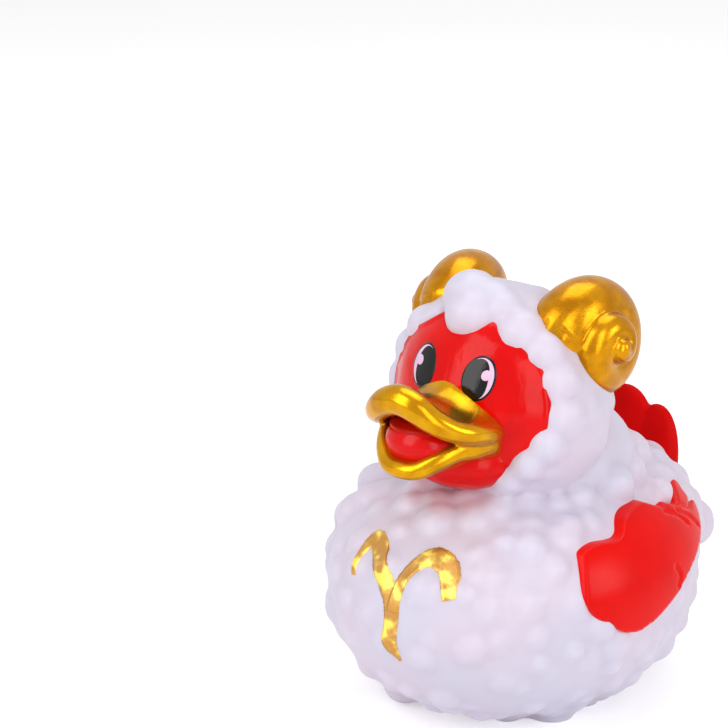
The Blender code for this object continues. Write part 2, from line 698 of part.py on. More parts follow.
class Stroke:
    """A pen stroke of x and z along a path, of one width."""

    def __init__(self, path, width):
        self.path = path
        self.half = width / 2
        self.cells = (len(path) - 1, 2)

    def __call__(self, u, v):
        i = round((u + 1) / 2 * (len(self.path) - 1))
        ahead = self.path[min(i + 1, len(self.path) - 1)]
        behind = self.path[max(i - 1, 0)]
        along = (ahead - behind).normalized()
        return (self.path[i].x - along.y * v * self.half, self.path[i].y + along.x * v * self.half)


def print_on(duck, ink, patches, skin, lift):
    """Adds printed films to the duck, in one ink."""
    for number, patch in enumerate(patches):
        bm = bmesh.new()
        add_film(bm, patch, skin, lift)
        film = make_object(f"{ink}_{number}", bm, cutters)
        film.data.materials.append(paints[ink])
        boolean(duck, film, "UNION")
        bpy.data.objects.remove(film)


def eye_patches():
    height = HEAD_HEIGHT + EYE_HEIGHT
    return [Oval((side * EYE_SIDE, height), EYE_WIDTH, EYE_TALL, -side * math.radians(EYE_TILT_DEG))
            for side in (-1, 1)]


def glint_patches():
    height = HEAD_HEIGHT + EYE_HEIGHT + GLINT_UP
    return [Oval((side * (EYE_SIDE + GLINT_OUT), height), GLINT_WIDTH, GLINT_TALL)
            for side in (-1, 1)]


def sign_patches():
    """The ram's sign: two horns that curl outward from one stem, on the chest."""
    half = SIGN_WIDTH / 2
    stem = [(0.20, 0.0), (0.02, 0.30)]
    horn = [(0.0, 0.56), (0.28, 0.90), (0.62, 1.0), (0.93, 0.86), (1.0, 0.60)]
    strokes = []
    for side, points in ((1, stem + horn), (-1, horn)):
        line = smooth_path([(side * half * across, SIGN_FOOT + SIGN_TALL * up, 0)
                            for across, up in points], PATH_STEPS)
        strokes.append(Stroke([Vector((p.x, p.y)) for p in line], SIGN_STROKE))
    return strokes


def build_duck():
    builders = {
        "wool_white.body": (build_belly, build_body_curls),
        "wool_white.hood": (build_hood,),
        "face_red": (build_head,),
        "beak_gold": (build_beak,),
        "mouth_red": (build_mouth,),
        "horn_gold": (lambda bm: build_horn(bm, -1), lambda bm: build_horn(bm, 1)),
        "wing_red": (lambda bm: build_wing(bm, -1), lambda bm: build_wing(bm, 1)),
        "tail_red": (build_tail,),
    }
    regions = {}
    for name, steps in builders.items():
        bm = bmesh.new()
        for step in steps:
            step(bm)
        regions[name] = make_object(name, bm, cutters)
    duck = join_regions(regions)
    cast_skin(duck)
    paint(duck, regions)
    thin_out(duck)
    boolean(duck, foot_cutter(), "DIFFERENCE")
    graph = bpy.context.evaluated_depsgraph_get()
    face = BVHTree.FromObject(regions["face_red"], graph)
    chest = BVHTree.FromObject(duck, graph)
    print_on(duck, "eye_black", eye_patches(), face, PRINT_LIFT)
    print_on(duck, "glint_white", glint_patches(), face, 2 * PRINT_LIFT)
    print_on(duck, "sign_gold", sign_patches(), chest, PRINT_LIFT)
    for shape in regions.values():
        hide_cutter(shape)
    for cutter in hollow_cutters():
        cut_with(duck, cutter)
    duck.data.shade_smooth()


for thing in list(bpy.data.objects):
    bpy.data.objects.remove(thing)
parts = bpy.data.collections.new("rubber_duck")
cutters = bpy.data.collections.new("cutters")
for group in (parts, cutters):
    bpy.context.scene.collection.children.link(group)
paints = {name: make_material(name, *look) for name, look in {
    "wool_white": ("#E9E3EC", 0.45),
    "face_red": ("#E00808", 0.18),
    "beak_gold": ("#D9A010", 0.30, 0.7),
    "mouth_red": ("#E00808", 0.20),
    "horn_gold": ("#D9A010", 0.30, 0.7),
    "wing_red": ("#E81408", 0.35),
    "tail_red": ("#C80000", 0.50),
    "eye_black": ("#0A0A0A", 0.25),
    "glint_white": ("#F4E4F0", 0.25),
    "sign_gold": ("#D9A84E", 0.30, 0.8),
}.items()}
build_duck()
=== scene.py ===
"""A rubber duck dressed as a ram, cast in soft vinyl, then painted and printed.

The shape functions work in millimetres, and each mesh is turned to metres when it becomes a piece.
+Z is up, the duck looks along -Y, and its left side is at +X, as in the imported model.
"""
import math
import random

import bmesh
import bpy
from mathutils import Matrix, Vector
from mathutils.bvhtree import BVHTree


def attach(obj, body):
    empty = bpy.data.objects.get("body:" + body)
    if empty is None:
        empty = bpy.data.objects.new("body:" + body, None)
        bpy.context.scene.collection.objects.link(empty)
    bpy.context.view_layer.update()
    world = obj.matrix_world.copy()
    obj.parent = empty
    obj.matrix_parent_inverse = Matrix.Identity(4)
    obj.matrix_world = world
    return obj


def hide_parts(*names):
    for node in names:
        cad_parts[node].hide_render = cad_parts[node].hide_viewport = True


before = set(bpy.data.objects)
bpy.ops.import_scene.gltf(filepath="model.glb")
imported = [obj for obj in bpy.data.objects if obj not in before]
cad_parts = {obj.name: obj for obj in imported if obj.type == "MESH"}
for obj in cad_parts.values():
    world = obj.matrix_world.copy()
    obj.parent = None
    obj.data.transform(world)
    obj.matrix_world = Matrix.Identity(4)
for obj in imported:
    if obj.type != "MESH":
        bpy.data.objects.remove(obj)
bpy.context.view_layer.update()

MM = 0.001
NODE = "duck"

# Belly under the wool, an egg that is fuller below than above
BODY_WIDTH = 66.0
BODY_LENGTH = 80.0
BODY_TOP = 49.0
BODY_WIDEST = 26.3          # height at which it is widest
BODY_DEPTH = 27.0           # from there to the lowest point, before the flat foot
CHEST_FULLNESS = 2.2        # 2 is an ellipse, and more is squarer
STERN_FULLNESS = 2.6
BODY_CENTRE = Vector((0.0, 0.0, BODY_WIDEST))
RUMP_CENTRE = Vector((0.0, 18.5, 30.5))
RUMP_AXES = Vector((27.0, 22.0, 17.75))
NECK_CENTRE = Vector((0.0, 4.0, 47.0))
NECK_AXES = Vector((20.5, 20.5, 13.0))

# Head, and the hood of wool over it
HEAD_CENTRE = Vector((0.0, -5.0, 60.7))
HEAD_AXES = Vector((20.5, 17.5, 20.75))
HOOD_AXES = Vector((21.9, 18.9, 22.15))
FACE_MIDDLE = (0.0, 5.0)    # azimuth and elevation from the head's middle, in degrees
FACE_EDGE = (               # the painted face's edge on the duck's left, from the top to the chin
    (0.0, 57.5), (9.0, 60.0), (21.0, 61.5), (32.0, 60.5), (41.0, 55.5), (45.5, 49.5),
    (51.5, 44.5), (58.0, 39.5), (62.5, 33.0), (64.0, 26.0), (63.0, 18.0), (64.5, 10.0),
    (63.0, 3.0), (62.0, -4.5), (56.5, -9.0), (53.0, -13.5), (48.5, -15.5), (44.5, -20.5),
    (40.0, -27.5), (31.5, -35.0), (19.0, -45.0), (9.0, -53.0), (0.0, -56.0),
)

# Curls of the wool, as balls sunk into what they grow on
CURL_RADIUS = 4.4
CURL_SPREAD = 0.36          # how far a radius strays from that, as a share of it
CURL_RELIEF = 1.15          # how far a ball stands out
RELIEF_SHARES = (0.5, 1.4)  # the least and the most of it that a curl of the belly gets
CURL_SPACING = 6.8
CURL_STRAY = 1.1            # how far a curl strays from its place, as a share of their spacing
WOOL_SEED = 7
HOOD_CURL_RADIUS = 5.2
HOOD_CURL_RELIEF = 0.8
HOOD_CURL_SPACING = 9.8
HOOD_CURL_LOWEST = -13.3    # from the head's middle; the collar's curls take over below
FACE_CLEARANCE = 1.25       # the hood's own curls keep this far off, as a share of the face's reach
FACE_HOLLOW = 0.85          # the hood is drawn in behind the face to this share
FRINGE = (                  # azimuth, elevation, radius and relief of the curls round the face
    (-6.0, 65.0, 5.4, 3.4), (15.0, 77.0, 5.0, 2.8), (-32.0, 73.0, 5.8, 4.6),
    (36.0, 71.0, 4.6, 2.2), (57.0, 56.0, 5.4, 1.8), (69.0, 41.0, 4.6, 1.7),
    (74.0, 23.5, 5.0, 1.5), (74.5, 4.0, 5.2, 1.5), (64.0, -11.0, 4.3, 1.8),
    (53.5, -22.0, 3.8, 1.8), (43.0, -34.0, 3.8, 1.6), (29.0, -47.0, 3.6, 0.5),
    (10.0, -60.0, 3.5, 0.2),
)
COLLAR = (                  # ring, height, dip under the chin, count and radius of the neck's curls
    (19.4, 45.0, 3.6, 14, 4.0), (25.2, 41.0, 1.6, 17, 4.0),
)
FRINGE_TWIN_FROM = 5.0      # curls further round than this azimuth have a twin on the right
FAR_CURL_SINK = 2.4         # how much lower the upper right curl lies than its twin
FAR_CURL_BAND = (50.0, 60.0)    # elevations between which it lies
COLLAR_JUT = 2.0            # how far the collar stands forward under the chin
FOOT_RING = 15.5
FOOT_CURL_COUNT = 11
FOOT_CURL_RADIUS = 4.3
SIGN_FRONT = -10            # wool further back than this isn't near the printed sign
SIGN_HEIGHT = 29.0          # the sign's middle
SIGN_REACH = (14.0, 13.0)   # how far it reaches across and up
SIGN_FLATNESS = 0.35        # the most relief that a curl under it loses, as a share
REAR_CURLS = (              # centre and radius of the bigger curls under the tail
    (17.5, 34.2, 28.0, 5.4), (6.0, 37.5, 25.0, 5.0), (17.5, 27.5, 19.5, 5.0),
    (11.0, 33.5, 17.0, 4.8), (0.0, 37.5, 32.5, 5.0),
)
SHOULDER_CURLS = (          # and of those on the shoulders and down the right of the chest
    (-21.0, -21.0, 36.2, 5.0), (-18.0, -20.4, 38.8, 4.8), (-25.4, -17.0, 33.5, 4.8),
    (-22.5, -14.0, 40.4, 4.4), (-24.5, -21.0, 28.5, 4.6), (-10.0, -21.0, 4.8, 4.6),
    (-16.0, -20.8, 8.0, 4.8), (-20.5, -21.0, 13.0, 4.6), (18.0, -20.0, 38.6, 4.2),
)


def linear(hex_colour):
    """An sRGB hex colour as linear RGBA."""
    channels = [int(hex_colour[i:i + 2], 16) / 255 for i in (1, 3, 5)]
    return [c / 12.92 if c <= 0.04045 else ((c + 0.055) / 1.055) ** 2.4 for c in channels] + [1.0]


def add_node(material, kind, settings=None, links=None):
    """Adds a node to a material or the world, with its settings and links from other outputs."""
    node = material.node_tree.nodes.new(kind)
    for name, value in (settings or {}).items():
        if name == "stops":
            ramp = node.color_ramp
            while len(ramp.elements) < len(value):
                ramp.elements.new(1.0)
            for stop, (place, colour) in zip(ramp.elements, value):
                stop.position = place
                stop.color = colour
        elif isinstance(name, int) or name in node.inputs:
            node.inputs[name].default_value = value
        else:
            setattr(node, name, value)
    for name, output in (links or {}).items():
        material.node_tree.links.new(output, node.inputs[name])
    return node


def new_material(name):
    """A material that has no nodes yet."""
    material = bpy.data.materials.new(name)
    material.use_nodes = True
    material.node_tree.nodes.clear()
    return material


def per_metre(size_mm):
    """The scale of a pattern node whose features are this many millimetres apart."""
    return 1.0 / (size_mm * MM)


def soft_vinyl_white():
    """Rotocast white PVC: satin, and light goes a little way in, which keeps the hollows warm.

    Its colour also carries painted shade: darker and pinker in the hollows between the curls,
    and paler on their tops.
    """
    material = new_material("soft_vinyl_white")
    place = add_node(material, "ShaderNodeTexCoord").outputs["Object"]
    shape = add_node(material, "ShaderNodeNewGeometry").outputs["Pointiness"]
    # painted shade: the white is darker and pinker where the wool curves inward and paler on the
    # curls' tops
    hollow = add_node(material, "ShaderNodeValToRGB",
                      {"stops": [(0.455, linear("#D9CEDC")), (0.505, linear("#E6E0EC")),
                                 (0.555, linear("#ECE8F4"))]}, {"Fac": shape}).outputs["Color"]
    drift = add_node(material, "ShaderNodeTexNoise", {"Scale": per_metre(18.0), "Detail": 1.0},
                     {"Vector": place}).outputs["Fac"]
    tint = add_node(material, "ShaderNodeValToRGB",
                    {"stops": [(0.35, linear("#F3ECF1")), (0.65, linear("#EDEEF5"))]},
                    {"Fac": drift}).outputs["Color"]
    colour = add_node(material, "ShaderNodeMix",
                      {"data_type": "RGBA", "blend_type": "MULTIPLY", 0: 1.0},
                      {6: hollow, 7: tint}).outputs[2]
    grain = add_node(material, "ShaderNodeTexNoise", {"Scale": per_metre(0.6), "Detail": 2.0},
                     {"Vector": place}).outputs["Fac"]
    relief = add_node(material, "ShaderNodeBump", {"Strength": 0.25, "Distance": 0.04 * MM},
                      {"Height": grain}).outputs["Normal"]
    shader = add_node(material, "ShaderNodeBsdfPrincipled",
                      {"Roughness": 0.42, "IOR": 1.53, "Subsurface Weight": 0.22,
                       "Subsurface Radius": (1.0, 0.75, 0.85), "Subsurface Scale": 1.6 * MM},
                      {"Base Color": colour, "Normal": relief})
    add_node(material, "ShaderNodeOutputMaterial", None, {"Surface": shader.outputs["BSDF"]})
    return material


def red_enamel(name, dark, light, roughness, gloss, stroke_mm, depth_mm):
    """Red enamel over vinyl, by brush or spray: glossy, with its strokes or mist as low waves."""
    material = new_material(name)
    place = add_node(material, "ShaderNodeTexCoord").outputs["Object"]
    drift = add_node(material, "ShaderNodeTexNoise", {"Scale": per_metre(7.0), "Detail": 2.0},
                     {"Vector": place}).outputs["Fac"]
    colour = add_node(material, "ShaderNodeValToRGB",
                      {"stops": [(0.35, linear(dark)), (0.65, linear(light))]},
                      {"Fac": drift}).outputs["Color"]
    turned = add_node(material, "ShaderNodeMapping",
                      {"Rotation": (0.5, 0.3, 0.6), "Scale": (1.0, 1.0, 0.35)},
                      {"Vector": place}).outputs["Vector"]
    strokes = add_node(material, "ShaderNodeTexNoise",
                       {"Scale": per_metre(stroke_mm), "Detail": 3.0},
                       {"Vector": turned}).outputs["Fac"]
    relief = add_node(material, "ShaderNodeBump", {"Strength": 0.5, "Distance": depth_mm * MM},
                      {"Height": strokes}).outputs["Normal"]
    shader = add_node(material, "ShaderNodeBsdfPrincipled",
                      {"Roughness": roughness, "IOR": 1.5, "Specular IOR Level": gloss},
                      {"Base Color": colour, "Normal": relief})
    add_node(material, "ShaderNodeOutputMaterial", None, {"Surface": shader.outputs["BSDF"]})
    return material


def gold_lacquer(name, shade, bright, metallic, roughness):
    """Gold lacquer, brass flake in amber varnish: amber in the shade, sparkling in the light."""
    material = new_material(name)
    place = add_node(material, "ShaderNodeTexCoord").outputs["Object"]
    drift = add_node(material, "ShaderNodeTexNoise", {"Scale": per_metre(4.0), "Detail": 2.0},
                     {"Vector": place}).outputs["Fac"]
    colour = add_node(material, "ShaderNodeValToRGB",
                      {"stops": [(0.3, linear(shade)), (0.7, linear(bright))]},
                      {"Fac": drift}).outputs["Color"]
    flake = add_node(material, "ShaderNodeTexNoise", {"Scale": per_metre(0.35), "Detail": 2.0},
                     {"Vector": place}).outputs["Fac"]
    gloss = add_node(material, "ShaderNodeMapRange",
                     {"From Min": 0.35, "From Max": 0.65, "To Min": roughness - 0.04,
                      "To Max": roughness + 0.05}, {"Value": flake}).outputs["Result"]
    relief = add_node(material, "ShaderNodeBump", {"Strength": 0.2, "Distance": 0.03 * MM},
                      {"Height": flake}).outputs["Normal"]
    shader = add_node(material, "ShaderNodeBsdfPrincipled",
                      {"Metallic": metallic, "Specular IOR Level": 0.2},
                      {"Base Color": colour, "Roughness": gloss, "Normal": relief})
    add_node(material, "ShaderNodeOutputMaterial", None, {"Surface": shader.outputs["BSDF"]})
    return material


def gold_foil():
    """Hot-stamped foil: tan where the press barely took, bright where it took well."""
    material = new_material("hot_stamped_foil")
    place = add_node(material, "ShaderNodeTexCoord").outputs["Object"]
    patches = add_node(material, "ShaderNodeTexNoise", {"Scale": per_metre(3.2), "Detail": 4.0},
                       {"Vector": place}).outputs["Fac"]
    colour = add_node(material, "ShaderNodeValToRGB",
                      {"stops": [(0.42, linear("#C89040")), (0.50, linear("#DDAC50")),
                                 (0.56, linear("#FFE860"))]}, {"Fac": patches}).outputs["Color"]
    creases = add_node(material, "ShaderNodeTexNoise", {"Scale": per_metre(0.5), "Detail": 3.0},
                       {"Vector": place}).outputs["Fac"]
    relief = add_node(material, "ShaderNodeBump", {"Strength": 0.6, "Distance": 0.05 * MM},
                      {"Height": creases}).outputs["Normal"]
    shader = add_node(material, "ShaderNodeBsdfPrincipled", {"Metallic": 0.45, "Roughness": 0.3},
                      {"Base Color": colour, "Normal": relief})
    add_node(material, "ShaderNodeOutputMaterial", None, {"Surface": shader.outputs["BSDF"]})
    return material


def pad_ink(name, ink, roughness):
    """Pad-printed ink: an even film that takes the fine unevenness of the paint under it."""
    material = new_material(name)
    place = add_node(material, "ShaderNodeTexCoord").outputs["Object"]
    grain = add_node(material, "ShaderNodeTexNoise", {"Scale": per_metre(0.5), "Detail": 2.0},
                     {"Vector": place}).outputs["Fac"]
    relief = add_node(material, "ShaderNodeBump", {"Strength": 0.3, "Distance": 0.04 * MM},
                      {"Height": grain}).outputs["Normal"]
    shader = add_node(material, "ShaderNodeBsdfPrincipled",
                      {"Base Color": linear(ink), "Roughness": roughness, "IOR": 1.5,
                       "Specular IOR Level": 0.3},
                      {"Normal": relief})
    add_node(material, "ShaderNodeOutputMaterial", None, {"Surface": shader.outputs["BSDF"]})
    return material


def backdrop_seen(owner):
    """1 where the camera, a mirror or glass looks at the backdrop, and 0 for the light it sheds."""
    rays = add_node(owner, "ShaderNodeLightPath").outputs
    mirrored = add_node(owner, "ShaderNodeMath", {"operation": "MAXIMUM"},
                        {0: rays["Is Glossy Ray"], 1: rays["Is Transmission Ray"]}).outputs[0]
    return add_node(owner, "ShaderNodeMath", {"operation": "MAXIMUM"},
                    {0: rays["Is Camera Ray"], 1: mirrored}).outputs[0]


def pale_backdrop():
    """Matt white board that looks evenly white to the camera and keeps the duck's shadow."""
    material = new_material("pale_board")
    seen = backdrop_seen(material)
    board = add_node(material, "ShaderNodeBsdfDiffuse",
                     {"Color": linear("#F4F3F5")}).outputs["BSDF"]
    glow = add_node(material, "ShaderNodeEmission",
                    {"Color": linear("#FFFFFF"), "Strength": 0.42})
    both = add_node(material, "ShaderNodeAddShader", None,
                    {0: board, 1: glow.outputs[0]}).outputs[0]
    mixed = add_node(material, "ShaderNodeMixShader", None, {0: seen, 1: board, 2: both}).outputs[0]
    add_node(material, "ShaderNodeOutputMaterial", None, {"Surface": mixed})
    return material


def ball_pattern():
    """The corners and faces of a ball of radius 1."""
    bm = bmesh.new()
    bmesh.ops.create_icosphere(bm, subdivisions=2, radius=1.0)
    bm.verts.index_update()
    corners = [vertex.co.copy() for vertex in bm.verts]
    faces = [[vertex.index for vertex in face.verts] for face in bm.faces]
    bm.free()
    return corners, faces


BALL_CORNERS, BALL_FACES = ball_pattern()


def add_ball(bm, centre, radius):
    """A small ball, such as a curl of the wool."""
    centre = Vector(centre)
    corners = [bm.verts.new(centre + corner * radius) for corner in BALL_CORNERS]
    for face in BALL_FACES:
        bm.faces.new([corners[k] for k in face])


def add_ellipsoid(bm, centre, semi_axes, segments=64, rings=40):
    """A smooth ellipsoid; gives back its corners."""
    made = bmesh.ops.create_uvsphere(bm, u_segments=segments, v_segments=rings, radius=1.0)
    bmesh.ops.scale(bm, verts=made["verts"], vec=semi_axes)
    bmesh.ops.translate(bm, verts=made["verts"], vec=centre)
    return made["verts"]


def add_tube(bm, points, radii, sides=24):
    """A round tube with domed ends through points, with a radius at each."""
    rings = []
    normal = None
    for i, point in enumerate(points):
        ahead = points[min(i + 1, len(points) - 1)]
        behind = points[max(i - 1, 0)]
        along = (ahead - behind).normalized()
        if normal is None:
            normal = along.orthogonal()
        normal = (normal - along * normal.dot(along)).normalized()
        across = along.cross(normal)
        rings.append([bm.verts.new(point + (normal * math.cos(a) + across * math.sin(a)) * radii[i])
                      for a in (2 * math.pi * k / sides for k in range(sides))])
    for first, second in zip(rings, rings[1:]):
        for k in range(sides):
            bm.faces.new((first[k], first[(k + 1) % sides], second[(k + 1) % sides], second[k]))
    bm.faces.new(list(reversed(rings[0])))
    bm.faces.new(rings[-1])
    add_ball(bm, points[0], radii[0])
    add_ball(bm, points[-1], radii[-1])


def between(before, start, end, after, t):
    """The place a share t of the way from start to end, on a smooth curve through all four."""
    return 0.5 * (2 * start + (end - before) * t
                  + (2 * before - 5 * start + 4 * end - after) * t ** 2
                  + (3 * start - before - 3 * end + after) * t ** 3)


def smooth_path(points, steps, closed=False):
    """Points along a smooth curve that passes through the points given."""
    knots = [Vector(p) for p in points]
    if closed:
        knots = [knots[-1]] + knots + knots[:2]
    else:
        knots = [2 * knots[0] - knots[1]] + knots + [2 * knots[-1] - knots[-2]]
    path = []
    for i in range(1, len(knots) - 2):
        path += [between(*knots[i - 1:i + 3], step / steps) for step in range(steps)]
    if not closed:
        path.append(knots[-2])
    return path


def face_outward(bm):
    """Turns all faces of a closed shape outward."""
    bmesh.ops.recalc_face_normals(bm, faces=bm.faces[:])


def new_object(name, bm):
    """A bmesh as an object in the scene."""
    mesh = bpy.data.meshes.new(name)
    bm.to_mesh(mesh)
    bm.free()
    thing = bpy.data.objects.new(name, mesh)
    bpy.context.scene.collection.objects.link(thing)
    return thing


def after_modifiers(holder):
    """A helper object's shape with its modifiers, as a bmesh."""
    graph = bpy.context.evaluated_depsgraph_get()
    mesh = bpy.data.meshes.new_from_object(holder.evaluated_get(graph))
    bm = bmesh.new()
    bm.from_mesh(mesh)
    bpy.data.meshes.remove(mesh)
    return bm


def discard(holder):
    """Removes a helper object and its mesh."""
    mesh = holder.data
    bpy.data.objects.remove(holder)
    bpy.data.meshes.remove(mesh)


def melted(bm, voxel, rounds):
    """The shapes in a bmesh run together into one skin, and smoothed."""
    face_outward(bm)
    holder = new_object("melt", bm)
    melt = holder.modifiers.new("melt", "REMESH")
    melt.mode = "VOXEL"
    melt.voxel_size = voxel
    melt.adaptivity = 0.0
    soften = holder.modifiers.new("soften", "SMOOTH")
    soften.factor = 0.5
    soften.iterations = rounds
    skin = after_modifiers(holder)
    discard(holder)
    return skin


def make_piece(name, bm, material):
    """A bmesh in millimetres as a piece in metres that rides on the duck and replaces its solid."""
    face_outward(bm)
    bmesh.ops.scale(bm, verts=bm.verts[:], vec=(MM, MM, MM))
    piece = new_object(name, bm)
    piece.data.shade_smooth()
    piece.data.materials.append(material)
    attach(piece, "root")
    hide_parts(NODE)


def scattered_directions(count, chance):
    """Directions spread over a sphere on a spiral, each a little off its place."""
    turn = math.pi * (3 - math.sqrt(5))
    stray = CURL_STRAY / math.sqrt(count)
    for i in range(count):
        z = 1 - 2 * (i + 0.5) / count
        ring = math.sqrt(1 - z * z)
        off = Vector([chance.uniform(-stray, stray) for _ in range(3)])
        yield (Vector((ring * math.cos(i * turn), ring * math.sin(i * turn), z)) + off).normalized()


def curl_count(semi_axes, spacing):
    """How many curls cover an ellipsoid, from its rough area and their spacing."""
    power = 1.6                 # gives the area to about one part in a hundred
    a, b, c = (axis ** power for axis in semi_axes)
    area = 4 * math.pi * ((a * b + a * c + b * c) / 3) ** (1 / power)
    return round(area / (spacing ** 2 * math.sqrt(3) / 2))


def body_point(direction, grow=0.0):
    """The point of the belly in a direction from its middle."""
    rise = direction.z
    half_tall = BODY_TOP - BODY_WIDEST if rise > 0 else BODY_DEPTH
    toward_back = 0.5 + 0.5 * direction.y
    fullness = 2.0 if rise > 0 else CHEST_FULLNESS + (STERN_FULLNESS - CHEST_FULLNESS) * toward_back
    across = math.hypot(direction.x / (BODY_WIDTH / 2 + grow),
                        direction.y / (BODY_LENGTH / 2 + grow))
    up = abs(rise) / (half_tall + grow)
    reach = (across ** fullness + up ** fullness) ** (-1 / fullness)
    return BODY_CENTRE + direction * reach


def toward(azimuth, elevation):
    """A direction from straight ahead, turned to the duck's left and raised, in degrees."""
    a, e = math.radians(azimuth), math.radians(elevation)
    return Vector((math.sin(a) * math.cos(e), -math.cos(a) * math.cos(e), math.sin(e)))


def on_ellipsoid(direction, axes):
    """Where a ray from the middle of an ellipsoid leaves it."""
    return direction / math.sqrt(sum((d / a) ** 2 for d, a in zip(direction, axes)))


def face_outline(count):
    """The painted face's edge as azimuth and elevation, all the way round, evenly in turn."""
    half = [Vector((az, el, 0)) for az, el in FACE_EDGE]
    ring = half + [Vector((-p.x, p.y, 0)) for p in reversed(half[1:-1])]
    path = smooth_path(ring, 8, closed=True)
    middle = Vector((*FACE_MIDDLE, 0))
    polar = sorted((math.atan2(p.x - middle.x, p.y - middle.y), (p - middle).length)
                   for p in path)
    turns = [turn for turn, _ in polar]
    reach = []
    for i in range(count):
        turn = -math.pi + 2 * math.pi * i / count
        k = next((j for j, t in enumerate(turns) if t > turn), len(turns))
        low, high = polar[k - 1], polar[k % len(polar)]
        gap = (high[0] - low[0]) % (2 * math.pi) or 1.0
        share = ((turn - low[0]) % (2 * math.pi)) / gap
        reach.append((turn, low[1] + (high[1] - low[1]) * share))
    return reach


FACE_REACH = face_outline(360)


def in_face(direction):
    """Below 1 inside the painted face, for a direction from the head's middle."""
    around = math.degrees(math.atan2(direction.x, -direction.y))
    up = math.degrees(math.asin(max(-1.0, min(1.0, direction.z))))
    turn = math.atan2(around - FACE_MIDDLE[0], up - FACE_MIDDLE[1])
    index = int((turn + math.pi) / (2 * math.pi) * len(FACE_REACH)) % len(FACE_REACH)
    return math.hypot(around - FACE_MIDDLE[0], up - FACE_MIDDLE[1]) / FACE_REACH[index][1]


# Outline of a wing, as places back along the duck and heights; True marks a point
WING_OUTLINE = (
    (-18.6, 32.2, False), (-18.1, 34.9, False), (-17.0, 37.6, False), (-15.7, 40.0, True),
    (-14.0, 40.6, False), (-11.5, 40.8, False), (-8.7, 40.5, False), (-6.8, 40.4, True),
    (-5.2, 40.9, False), (-3.4, 42.1, False), (-1.3, 42.9, False), (2.1, 43.3, False),
    (5.2, 43.2, False), (8.2, 41.8, False), (10.7, 40.6, True), (12.4, 40.9, True),
    (15.8, 39.3, True), (20.0, 41.0, False), (23.1, 41.6, True), (25.4, 38.4, False),
    (24.6, 35.6, False), (21.0, 33.4, False), (16.0, 31.6, False), (9.6, 29.4, False),
    (3.5, 26.5, False), (-1.6, 24.6, False), (-6.1, 23.6, False), (-9.0, 23.9, False),
    (-11.4, 24.9, False), (-14.0, 27.2, False), (-16.6, 28.7, False),
)
WING_REAR = 25.4            # its rearmost point, which stays where it is
WING_SETTLE = (0.8, -1.7)   # how far its front point is moved back and up
WING_LIFT = 1.7             # how far it stands out of the belly
WING_SHIFT = 1.6            # its dome is the belly's, moved back by this
CREASE_DEPTH = 0.45
CREASE_WIDTH = 0.45
FEATHER_LINES = (           # creases between the feathers of a wing
    ((9.8, 40.0), (13.0, 38.6), (15.5, 36.4)),
    ((14.2, 38.8), (17.5, 37.0), (20.0, 34.6)),
    ((5.5, 31.5), (6.5, 29.6), (5.5, 27.9)),
    ((17.2, 38.6), (20.0, 37.6), (23.0, 37.8)),
)


def settled(corner):
    """A place of the wing's outline, let down and back towards its front."""
    share = (WING_REAR - corner[0]) / (WING_REAR - WING_OUTLINE[0][0])
    return Vector((corner[0] + WING_SETTLE[0] * share, corner[1] + WING_SETTLE[1] * share))


def wing_outline():
    """The wing's outline as points, with its corners kept."""
    points = []
    count = len(WING_OUTLINE)
    for i in range(count):
        before, start, end, after = (settled(WING_OUTLINE[(i + k) % count]) for k in (-1, 0, 1, 2))
        if WING_OUTLINE[i][2]:
            before = 2 * start - end
        if WING_OUTLINE[(i + 1) % count][2]:
            after = 2 * end - start
        points += [between(before, start, end, after, step / 6) for step in range(6)]
    return points


def inside(outline, y, z):
    """Whether a place lies inside an outline."""
    hit = False
    for i, a in enumerate(outline):
        b = outline[i - 1]
        if (a.y > z) != (b.y > z) and y < (b.x - a.x) * (z - a.y) / (b.y - a.y) + a.x:
            hit = not hit
    return hit


WING_EDGE = wing_outline()


def curl_size(chance, radius):
    """A radius that strays at random from the usual one."""
    return radius * (1 + CURL_SPREAD * (2 * chance.random() - 1))


def near_sign(place):
    """How much of its relief a curl loses near the printed sign, from 0 to 1."""
    if place.y > SIGN_FRONT:
        return 0.0
    off = math.hypot(place.x / SIGN_REACH[0], (place.z - SIGN_HEIGHT) / SIGN_REACH[1])
    return max(0.0, 1 - off) ** 0.5 * SIGN_FLATNESS


